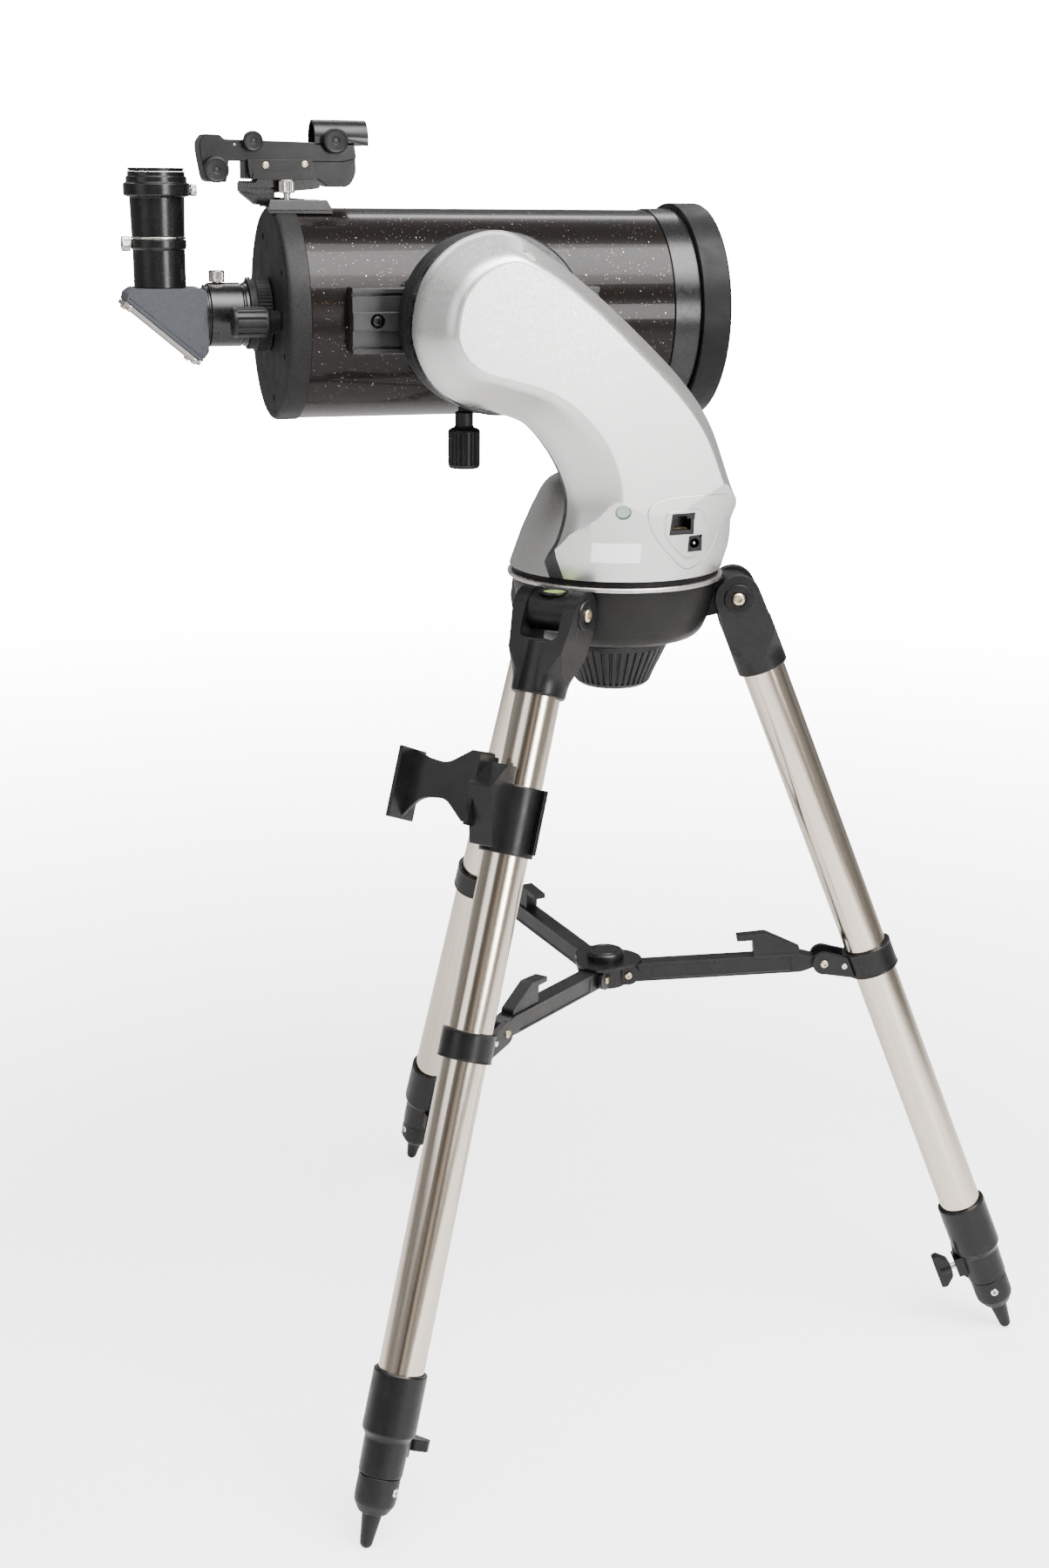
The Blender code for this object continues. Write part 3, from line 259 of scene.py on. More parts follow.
MATERIALS = {
    "tube_black": gloss_flake(),
    "cast_black": cast_charcoal(),
    "cap_black": moulded(
        "cap_plastic", (0.0042, 0.0042, 0.0045), 0.44, 1300.0, 0.00004, Specular_IOR_Level=0.15
    ),
    "satin_black": anodised(),
    "grey_black": cast_bluegrey(),
    "silver_paint": silver_metallic(),
    "dark_grey": moulded(
        "inner_plastic", (0.026, 0.026, 0.028), 0.46, 1500.0, 0.00008, 1.3, Specular_IOR_Level=0.3
    ),
    "plastic_black": moulded(
        "black_plastic", (0.0032, 0.0032, 0.0034), 0.32, 1700.0, 0.00002, Specular_IOR_Level=0.28
    ),
    "steel": drawn_steel(),
    "nickel": plated("bright_nickel", (0.63, 0.6, 0.555), 0.24),
    "glass": clear_glass(),
    "mirror": plated("mirror_coat", (0.9, 0.9, 0.9), 0.03),
    "brass_zinc": plated("yellow_zinc", (0.66, 0.57, 0.42), 0.3),
    "knob_rubber": moulded(
        "knob_plastic", (0.005, 0.005, 0.0052), 0.4, 1500.0, 0.00004, Specular_IOR_Level=0.25
    ),
    "satin_nickel": plated("satin_nickel", (0.7, 0.68, 0.65), 0.34),
    "champagne": plated("champagne_plate", (0.3, 0.285, 0.27), 0.42),
    "dark_screw": plated("dark_screw", (0.055, 0.054, 0.053), 0.35),
    "bright_screw": plated("bright_screw", (0.78, 0.76, 0.73), 0.2),
    "bar_black": moulded(
        "bar_black", (0.007, 0.007, 0.0074), 0.34, 2300.0, 0.00012, 2.2, Specular_IOR_Level=0.4
    ),
    "bowl_black": moulded(
        "bowl_black", (0.004, 0.0039, 0.0038), 0.38, 1500.0, 0.00008, 1.6, Specular_IOR_Level=0.22
    ),
    "label": moulded("blank_label", (0.93, 0.93, 0.93), 0.45, 900.0, 0.00001, 1.02),
    "plug_green": moulded("screw_cover", (0.33, 0.42, 0.35), 0.3, 900.0, 0.00002, 1.15),
    "level_green": moulded("level_fluid", (0.3, 0.48, 0.12), 0.1, 500.0, 0.00001, 1.1, Coat_Weight=1.0),
}
SLOT_OF = {row["node"]: row["material_slot"] for row in frame["record"]["subparts"]}
for node, obj in NODES.items():
    obj.data.materials.clear()
    obj.data.materials.append(MATERIALS[SLOT_OF[node]])
    for polygon in obj.data.polygons:
        polygon.use_smooth = False


# Shapes. A shape is a bmesh in the frame that its piece is placed in.

ALONG = {
    "X": turned(90, "Y"),
    "Y": turned(-90, "X"),
    "Z": Matrix.Identity(4),
}
FILLET_STEPS = 4
SMALLEST_TURN = 0.2  # corners that turn less than this, in radians, stay as they are
MOST_EDGE = 0.48  # share of an edge that the corner at one of its ends may take
ON_AXIS = 1e-7  # a profile point nearer the axis than this is one vertex
WELD = 1e-6
FLAT_TURN = 0.0008  # radians between faces that count as one
FINE = 192  # sides of the widest round shapes


def filleted(points, radius, closed):
    """The outline with its corners rounded. A point's third number is its own radius."""
    found = []
    count = len(points)
    for i, point in enumerate(points):
        here = Vector(point[:2])
        if not closed and i in (0, count - 1):
            found.append(here)
            continue
        back = Vector(points[i - 1][:2]) - here
        ahead = Vector(points[(i + 1) % count][:2]) - here
        own = min(point[2] if len(point) > 2 else radius, back.length * MOST_EDGE, ahead.length * MOST_EDGE)
        if own <= 0 or math.pi - back.angle(ahead) < SMALLEST_TURN:
            found.append(here)
            continue
        start, end = here + back.normalized() * own, here + ahead.normalized() * own
        for k in range(FILLET_STEPS + 1):
            t = k / FILLET_STEPS
            found.append(start * (1 - t) ** 2 + here * 2 * t * (1 - t) + end * t**2)
    return found


def fluted(count, depth, low, high, share=0.45, blur=0.12, least=0.0):
    """Grooves along a turned shape between two places on its axis."""

    def offset(angle, along, radius):
        if not low < along < high or radius < least:
            return 0.0
        phase = abs((angle * count / (2 * math.pi)) % 1.0 - 0.5) * 2
        return -depth * max(0.0, min(1.0, (share + blur - phase) / (2 * blur)))

    return offset


def lathe(profile, centre=(0, 0, 0), axis="Z", sides=96, ring=False, fillet=0.0004, ribs=None):
    """A turned shape. profile is (radius, place along the axis)."""
    work = bmesh.new()
    turn = Matrix.Translation(centre) @ ALONG[axis]
    rows = []
    for radius, along in filleted(profile, fillet, ring):
        row = []
        for k in range(1 if radius < ON_AXIS else sides):
            angle = 2 * math.pi * k / sides
            reach = radius + (ribs(angle, along, radius) if ribs else 0.0)
            row.append(
                work.verts.new(turn @ Vector((reach * math.cos(angle), reach * math.sin(angle), along)))
            )
        rows.append(row)
    for first, second in list(zip(rows, rows[1:])) + ([(rows[-1], rows[0])] if ring else []):
        for k in range(sides):
            j = (k + 1) % sides
            corners = [
                first[k % len(first)], first[j % len(first)], second[j % len(second)],
                second[k % len(second)],
            ]
            corners = list(dict.fromkeys(corners))
            if len(corners) > 2:
                work.faces.new(corners)
    return work


def rod(radius, low, high, centre=(0, 0, 0), axis="Z", sides=48):
    return lathe([(0, high), (radius, high), (radius, low), (0, low)], centre, axis, sides, fillet=0)


def tube(outer, inner, low, high, centre=(0, 0, 0), axis="Z", sides=96, fillet=0.0004):
    profile = [(outer, high), (outer, low), (inner, low), (inner, high)]
    return lathe(profile, centre, axis, sides, True, fillet)


PLANES = {
    "XY": lambda a, b, c: (a, b, c),
    "XZ": lambda a, b, c: (a, c, b),
    "YZ": lambda a, b, c: (c, a, b),
}


def prism(outline, low, high, plane="XZ", fillet=0.0008):
    """A flat outline given thickness across its plane."""
    points = filleted(outline, fillet, True)
    work = bmesh.new()
    rows = [[work.verts.new(PLANES[plane](p.x, p.y, level)) for p in points] for level in (low, high)]
    work.faces.new(rows[0])
    work.faces.new(rows[1])
    for k in range(len(points)):
        j = (k + 1) % len(points)
        work.faces.new((rows[0][k], rows[0][j], rows[1][j], rows[1][k]))
    return work


def box(low, high):
    corners = [(low[0], low[1]), (high[0], low[1]), (high[0], high[1]), (low[0], high[1])]
    return prism(corners, low[2], high[2], "XY", 0)


def arc(centre, radius, start, end, steps):
    angles = [math.radians(start + (end - start) * i / steps) for i in range(steps + 1)]
    return [(centre[0] + radius * math.cos(a), centre[1] + radius * math.sin(a)) for a in angles]


def sharp(points):
    """The same points, each with no rounding of its own."""
    return [(*point, 0) for point in points]


def moved(work, matrix):
    work.transform(matrix)
    return work


def linked(name, work):
    bmesh.ops.recalc_face_normals(work, faces=work.faces)
    mesh = bpy.data.meshes.new(name)
    work.to_mesh(mesh)
    work.free()
    made = bpy.data.objects.new(name, mesh)
    bpy.context.scene.collection.objects.link(made)
    return made


def boolean(operation, base, *tools):
    target = linked("base", base)
    cutters = [linked("tool", tool) for tool in tools]
    for cutter in cutters:
        step = target.modifiers.new("step", "BOOLEAN")
        step.operation, step.object = operation, cutter
    bpy.context.view_layer.update()
    mesh = bpy.data.meshes.new_from_object(target.evaluated_get(bpy.context.evaluated_depsgraph_get()))
    work = bmesh.new()
    work.from_mesh(mesh)
    bpy.data.meshes.remove(mesh)
    for used in (target, *cutters):
        bpy.data.objects.remove(used, do_unlink=True)
    bmesh.ops.remove_doubles(work, verts=work.verts, dist=WELD)
    bmesh.ops.dissolve_limit(work, angle_limit=FLAT_TURN, verts=work.verts, edges=work.edges)
    return work


def cut(base, *tools):
    return boolean("DIFFERENCE", base, *tools)


def fuse(base, *tools):
    return boolean("UNION", base, *tools)


def common(base, *tools):
    return boolean("INTERSECT", base, *tools)


def show(name, work, body, slot, nodes=(), place=WORLD, bevel=0.0, segments=2, angle=32.0, paint=None):
    """Makes the shape a visible piece on a body, with its slot's finish or another paint."""
    made = linked(name, work)
    mesh = made.data
    mesh.materials.append(MATERIALS[paint or slot])
    for polygon in mesh.polygons:
        polygon.use_smooth = True
    made.matrix_world = place
    if bevel:
        edges = made.modifiers.new("edges", "BEVEL")
        edges.width, edges.segments = bevel, segments
        edges.limit_method, edges.angle_limit = "ANGLE", math.radians(angle)
    else:
        mesh.set_sharp_from_angle(angle=math.radians(angle))
    made.modifiers.new("normals", "WEIGHTED_NORMAL").keep_sharp = True
    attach(made, body)
    if nodes:
        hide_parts(*nodes)
    return made


SCREWS = {}


def screw(
    name, body, point, direction, radius=0.0035, height=0.002, paint="brass_zinc", place=WORLD, cross=False
):
    """A screw head with a hex socket, or a cross recess, standing on a face."""
    kind = (radius, height, cross)
    if kind not in SCREWS:
        dome = [(0, height), (radius * 0.72, height, radius * 0.2), (radius, height * 0.62, radius * 0.1)]
        head = lathe([*dome, (radius, -0.0006), (0, -0.0006)], sides=40, fillet=radius * 0.1)
        if cross:
            arms = [
                box((-radius * a, -radius * b, height * 0.35), (radius * a, radius * b, height * 2))
                for a, b in ((0.55, 0.13), (0.13, 0.55))
            ]
        else:
            arms = [prism(arc((0, 0), radius * 0.52, 0, 300, 5), height * 0.2, height * 2, "XY", 0)]
        SCREWS[kind] = cut(head, *arms)
    work = SCREWS[kind].copy()
    turn = Vector(direction).to_track_quat("Z", "Y").to_matrix().to_4x4()
    spot = place @ Matrix.Translation(point) @ turn
    return show(name, work, body, "nickel", (), spot, angle=30.0, paint=paint)


def thumbscrew(radius, low, high, stud_radius, stud_end, teeth=30):
    """A knurled head between two places on Z, with a stud down to stud_end."""
    profile = [
        (0, high - 0.0004), (radius * 0.6, high - 0.0004), (radius * 0.7, high), (radius, high, 0.0007),
        (radius, high - 0.0013), (radius, low + 0.0012), (radius, low, 0.0006), (radius * 0.55, low),
        (radius * 0.55, low - 0.0007), (stud_radius, low - 0.0007), (stud_radius, stud_end), (0, stud_end),
    ]
    ribs = fluted(teeth, 0.00035, low + 0.0011, high - 0.0012, share=0.5, blur=0.45, least=radius * 0.95)
    return lathe(profile, sides=teeth * 6, fillet=0.0002, ribs=ribs)


# Optical tube

OPTIC_Y, OPTIC_Z = 0.072, 0.7985
TUBE_R, CELL_R, CAP_R = 0.072, 0.073, 0.077
TUBE_BACK, TUBE_FRONT, CELL_BACK, RING_FRONT, CAP_FRONT = -0.22, 0.041, -0.236, 0.061, 0.083
LIGHT_R, EYEPIECE_R, NOSE_R, EYE_X = 0.0135, 0.016, 0.0156, -0.311
ALT_X = -0.104
GAP = 0.0003  # between touching pieces
BAFFLE_END, BAFFLE_TIP = -0.15, -0.08
CELL_HOLES = ((0.0877, 0.8509), (0.0215, 0.8282), (0.0175, 0.773), (0.0597, 0.742))
CELL_HOLE_R, CELL_HOLE_DEPTH = 0.0026, 0.005
RING_SEAT_R, LEDGE_R, LEDGE_X = 0.0645, 0.06, 0.0475
CAP_PLUG_R, CAP_INSIDE_R = 0.0641, 0.0615


def optic(x):
    """The point of the tube's axis at x."""
    return (x, OPTIC_Y, OPTIC_Z)


def optical_tube():
    body = "optical_tube"
    shell = tube(TUBE_R, TUBE_R - 0.0015, TUBE_BACK, TUBE_FRONT, optic(0), "X", FINE, 0.0002)
    show("tube_shell", shell, body, "tube_black", ["main_tube"])
    back = TUBE_BACK - GAP
    cell = [
        (0.0105, BAFFLE_TIP), (LIGHT_R, BAFFLE_END), (LIGHT_R, back), (CELL_R, back, 0.0004),
        (CELL_R, back - 0.004), (CELL_R, CELL_BACK, 0.005), (CELL_R - 0.008, CELL_BACK), (0.03, CELL_BACK),
        (0.012, CELL_BACK), (0.012, BAFFLE_END), (0.0092, BAFFLE_TIP),
    ]
    low, high = CELL_BACK - 0.002, CELL_BACK + CELL_HOLE_DEPTH
    bores = [rod(CELL_HOLE_R, low, high, (0, y, z), "X", 24) for y, z in CELL_HOLES]
    work = cut(lathe(cell, optic(0), "X", FINE, True), *bores)
    show("rear_cell_cast", work, body, "cast_black", ["rear_cell"])
    for i, (y, z) in enumerate(CELL_HOLES):
        place = (CELL_BACK + 0.0034, y, z)
        screw(
            f"cell_screw_{i}", body, place, (-1, 0, 0), 0.0021, 0.0012,
            "bright_screw" if i == 2 else "dark_screw",
        )
    ring = [
        (CELL_R, RING_FRONT, 0.0008), (CELL_R, TUBE_FRONT + GAP, 0.0006), (LEDGE_R, TUBE_FRONT + GAP),
        (LEDGE_R, LEDGE_X), (RING_SEAT_R, LEDGE_X), (RING_SEAT_R, RING_FRONT),
    ]
    show("front_ring", lathe(ring, optic(0), "X", FINE, True), body, "satin_black", ["front_cell"])
    cap = [
        (0, CAP_FRONT - 0.0014), (0.064, CAP_FRONT - 0.0014), (0.066, CAP_FRONT),
        (CAP_R, CAP_FRONT, 0.0022), (CAP_R, CAP_FRONT - 0.006), (CAP_R, RING_FRONT + 0.003),
        (CAP_R, RING_FRONT + GAP, 0.0008), (CAP_PLUG_R, RING_FRONT + GAP), (CAP_PLUG_R, 0.0573),
        (CAP_INSIDE_R, 0.0573), (CAP_INSIDE_R, CAP_FRONT - 0.003), (0, CAP_FRONT - 0.003),
    ]
    show("cap_shell", lathe(cap, optic(0), "X", FINE), "cap", "cap_black", ["dust_cap"])


FOCUS_Y, FOCUS_Z, FOCUS_R = 0.03, 0.796, 0.0102
RING_SCREW_ANGLES = (78, 198, 318)
BACK_SCREW_X, EYE_SCREW_Z, BARLOW_SCREW_Z = -0.272, 0.8462, 0.8815


def rear_fittings():
    body = "optical_tube"
    knob = [
        (0, -0.2365), (0.007, -0.2365), (0.0074, -0.24), (0.0085, -0.244, 0.001), (0.01, -0.2455),
        (FOCUS_R, -0.247), (FOCUS_R, -0.2475), (FOCUS_R, -0.266), (FOCUS_R, -0.2664),
        (0.0098, -0.269, 0.001), (0.006, -0.269), (0.0052, -0.2684), (0, -0.2684),
    ]
    ribs = fluted(12, 0.0011, -0.2662, -0.2473, share=0.3, blur=0.05, least=0.0098)
    work = lathe(knob, (0, FOCUS_Y, FOCUS_Z), "X", 144, ribs=ribs)
    show("focus_grip", work, "focuser", "plastic_black", ["focus_knob"], paint="knob_rubber")
    locking = [
        (0.024, -0.2365), (0.0255, -0.2375), (0.0255, -0.2382), (0.0255, -0.2462), (0.0255, -0.2468),
        (0.024, -0.2475), (0.024, -0.252), (LIGHT_R, -0.252), (LIGHT_R, -0.2365),
    ]
    ribs = fluted(60, 0.0006, -0.2466, -0.238, share=0.5, blur=0.3, least=0.0252)
    show(
        "locking_ring", lathe(locking, optic(0), "X", 360, True, ribs=ribs), body, "cast_black",
        ["visual_back_ring"],
    )
    for i, angle in enumerate(RING_SCREW_ANGLES):
        side = Vector((0, math.cos(math.radians(angle)), math.sin(math.radians(angle))))
        place = Vector(optic(-0.2498)) + side * 0.0236
        screw(f"ring_screw_{i}", body, place, side, 0.002, 0.0022, "bright_screw")
    sleeve = [
        (0.0218, -0.2523), (0.0218, -0.2545), (0.0208, -0.255), (0.0208, -0.2562), (0.0218, -0.2567),
        (0.0218, -0.279, 0.0006), (EYEPIECE_R, -0.279), (EYEPIECE_R, -0.2523),
    ]
    hole = rod(0.0021, 0, 0.03, optic(BACK_SCREW_X), "Z", 20)
    show(
        "back_sleeve", cut(lathe(sleeve, optic(0), "X", 128, True), hole), body, "satin_black",
        ["visual_back"],
    )
    place = WORLD @ Matrix.Translation(optic(BACK_SCREW_X))
    work = thumbscrew(0.0055, 0.0221, 0.03, stud_radius=0.0018, stud_end=0.0165)
    show("back_thumb", work, "back_screw", "nickel", ["visual_back_thumbscrew"], place)


HYPOTENUSE = ((-0.3385, 0.8065), (-0.289, 0.765))
COVER_THICK, PRISM_HALF = 0.003, 0.019
BLOCK_TOP, BLOCK_FRONT = 0.817, -0.2815


def slant(along, depth):
    """A point along the diagonal's slanting face from its upper end, and in from it."""
    start, end = (Vector(point) for point in HYPOTENUSE)
    run = (end - start).normalized()
    return start + run * along + Vector((-run.y, run.x)) * depth


def slanted(along_from, along_to, depth_from, depth_to, half, fillet=0.0005):
    """A slab between two places along the slanting face and two depths in from it."""
    corners = (
        (along_from, depth_from), (along_to, depth_from), (along_to, depth_to), (along_from, depth_to)
    )
    outline = [tuple(slant(*corner)) for corner in corners]
    return prism(outline, OPTIC_Y - half, OPTIC_Y + half, "XZ", fillet)


def star_diagonal():
    body = "diagonal"
    length = (Vector(HYPOTENUSE[1]) - Vector(HYPOTENUSE[0])).length
    outline = [
        (-0.3305, BLOCK_TOP), (-0.284, BLOCK_TOP, 0.0015), (BLOCK_FRONT, 0.814),
        (BLOCK_FRONT, 0.7745, 0.0015), tuple(slant(length, COVER_THICK + GAP)),
        tuple(slant(0, COVER_THICK + GAP)), (-0.335, 0.814),
    ]
    block = prism(outline, OPTIC_Y - PRISM_HALF, OPTIC_Y + PRISM_HALF)
    bores = [
        rod(LIGHT_R - 0.001, -0.308, -0.25, optic(0), "X", 64),
        rod(LIGHT_R - 0.001, OPTIC_Z, 0.83, (EYE_X, OPTIC_Y, 0), "Z", 64),
        slanted(0.012, length - 0.012, 0.0, COVER_THICK + 0.0035, 0.0133, 0),
        slanted(0.0, length, COVER_THICK + 0.0028, COVER_THICK + 0.0032, PRISM_HALF * 2, 0),
    ]
    core = slanted(0.0008, length - 0.0008, 0.0, COVER_THICK + 0.006, PRISM_HALF - 0.0006, 0)
    groove = cut(bores.pop(), core)
    show("prism_housing", cut(block, *bores, groove), body, "grey_black", ["diagonal_body"], bevel=0.0007)
    nose = [
        (NOSE_R, -0.257), (NOSE_R, -0.2786), (0.0205, -0.2793), (0.0205, -0.2803), (0.0197, -0.2805),
        (0.0197, -0.2812), (0.0205, -0.2813), (0.0205, -0.2818), (0.0125, -0.2818), (0.0125, -0.257),
    ]
    show("diagonal_nose", lathe(nose, optic(0), "X", 96, True, 0.0002), body, "satin_black")
    plate = slanted(0, length, 0, COVER_THICK, PRISM_HALF - 0.0005)
    show("cover_plate", plate, body, "nickel", ["diagonal_cover"], bevel=0.0004, paint="champagne")
    run = (Vector(HYPOTENUSE[1]) - Vector(HYPOTENUSE[0])).normalized()
    out = (run.y, 0, -run.x)
    for i, (along, side) in enumerate((a, s) for a in (0.0045, length - 0.0045) for s in (-1, 1)):
        spot = slant(along, 0)
        screw(f"cover_screw_{i}", body, (spot.x, OPTIC_Y + side * 0.0155, spot.y), out, 0.0022, 0.0016)
        edge = slant(along, COVER_THICK * 0.5)
        spot = (edge.x, OPTIC_Y + side * (PRISM_HALF - 0.0006), edge.y)
        screw(f"edge_screw_{i}", body, spot, (0, side, 0), 0.0013, 0.0006, "bright_screw")
    eye = (EYE_X, OPTIC_Y, 0)
    holder = [
        (0.019, 0.849, 0.0005), (0.019, 0.8435, 0.0012), (0.01775, 0.8423), (0.01775, 0.8173),
        (EYEPIECE_R, 0.8173), (EYEPIECE_R, 0.849),
    ]
    hole = rod(0.002, EYE_X - 0.03, EYE_X, (0, OPTIC_Y, EYE_SCREW_Z), "X", 20)
    show(
        "holder_tube", cut(lathe(holder, eye, "Z", 128, True), hole), body, "satin_black",
        ["eyepiece_holder"],
    )
    place = WORLD @ shifted(EYE_X, OPTIC_Y, EYE_SCREW_Z) @ turned(-90, "Y")
    work = thumbscrew(0.005, 0.0193, 0.0252, stud_radius=0.0017, stud_end=0.0165, teeth=26)
    show("eyepiece_thumb", work, "eyepiece_screw", "nickel", ["eyepiece_thumbscrew"], place)
    barlow = [
        (0.0193, 0.8935), (0.0193, 0.8905), (0.0205, 0.8902), (0.0205, 0.8866), (0.0212, 0.8862),
        (0.0225, 0.8855), (0.0225, 0.8778, 0.0012), (0.0186, 0.8768), (0.018, 0.852), (0.018, 0.8511),
        (NOSE_R, 0.8511), (NOSE_R, 0.819), (0.0125, 0.819), (0.0125, 0.855), (EYEPIECE_R, 0.855),
        (EYEPIECE_R, 0.8935),
    ]
    hole = rod(0.002, EYE_X, EYE_X + 0.03, (0, OPTIC_Y, BARLOW_SCREW_Z), "X", 20)
    show(
        "barlow_body", cut(lathe(barlow, eye, "Z", 128, True), hole), "barlow", "satin_black",
        ["barlow_tube"],
    )
    show("barlow_shoulder", tube(0.0187, NOSE_R, 0.8494, 0.8509, eye, "Z", 128), "barlow", "nickel")
    rim = [
        (0.018, 0.896), (0.0193, 0.8957), (0.0193, 0.895), (0.0184, 0.8948), (0.0184, 0.8942),
        (0.0193, 0.894), (0.0193, 0.8936), (EYEPIECE_R, 0.8936), (EYEPIECE_R, 0.896),
    ]
    show("barlow_rim", lathe(rim, eye, "Z", 128, True, 0.0001), "barlow", "satin_black", paint="dark_screw")
    place = WORLD @ shifted(EYE_X, OPTIC_Y, BARLOW_SCREW_Z) @ turned(90, "Y")
    work = thumbscrew(0.004, 0.0228, 0.027, stud_radius=0.0016, stud_end=0.0165, teeth=22)
    show("barlow_thumb", work, "barlow_screw", "nickel", ["barlow_thumbscrew"], place)


SHOE_SCREW = (-0.225, 0.054)
POWER_KNOB, TILT_KNOB, PAN_KNOB = (-0.19, 0.915), (-0.2725, 0.895), (-0.247, 0.914)


def disc_knob(radius):
    """A flat round knob on Y with a dished face and a small centre screw hole."""
    profile = [
        (0, 0.0597), (radius * 0.55, 0.0597), (radius * 0.6, 0.0588), (radius, 0.0583, 0.0005),
        (radius, 0.0578), (radius, 0.0548), (radius, 0.054, 0.0006), (radius * 0.86, 0.0536),
        (radius * 0.78, 0.054), (radius * 0.3, 0.0541), (radius * 0.26, 0.0545), (0, 0.0546),
    ]
    ribs = fluted(40, 0.0002, 0.0547, 0.0579, share=0.5, blur=0.4, least=radius * 0.97)
    return lathe(profile, (0, 0, 0), "Y", 240, fillet=0.0003, ribs=ribs)


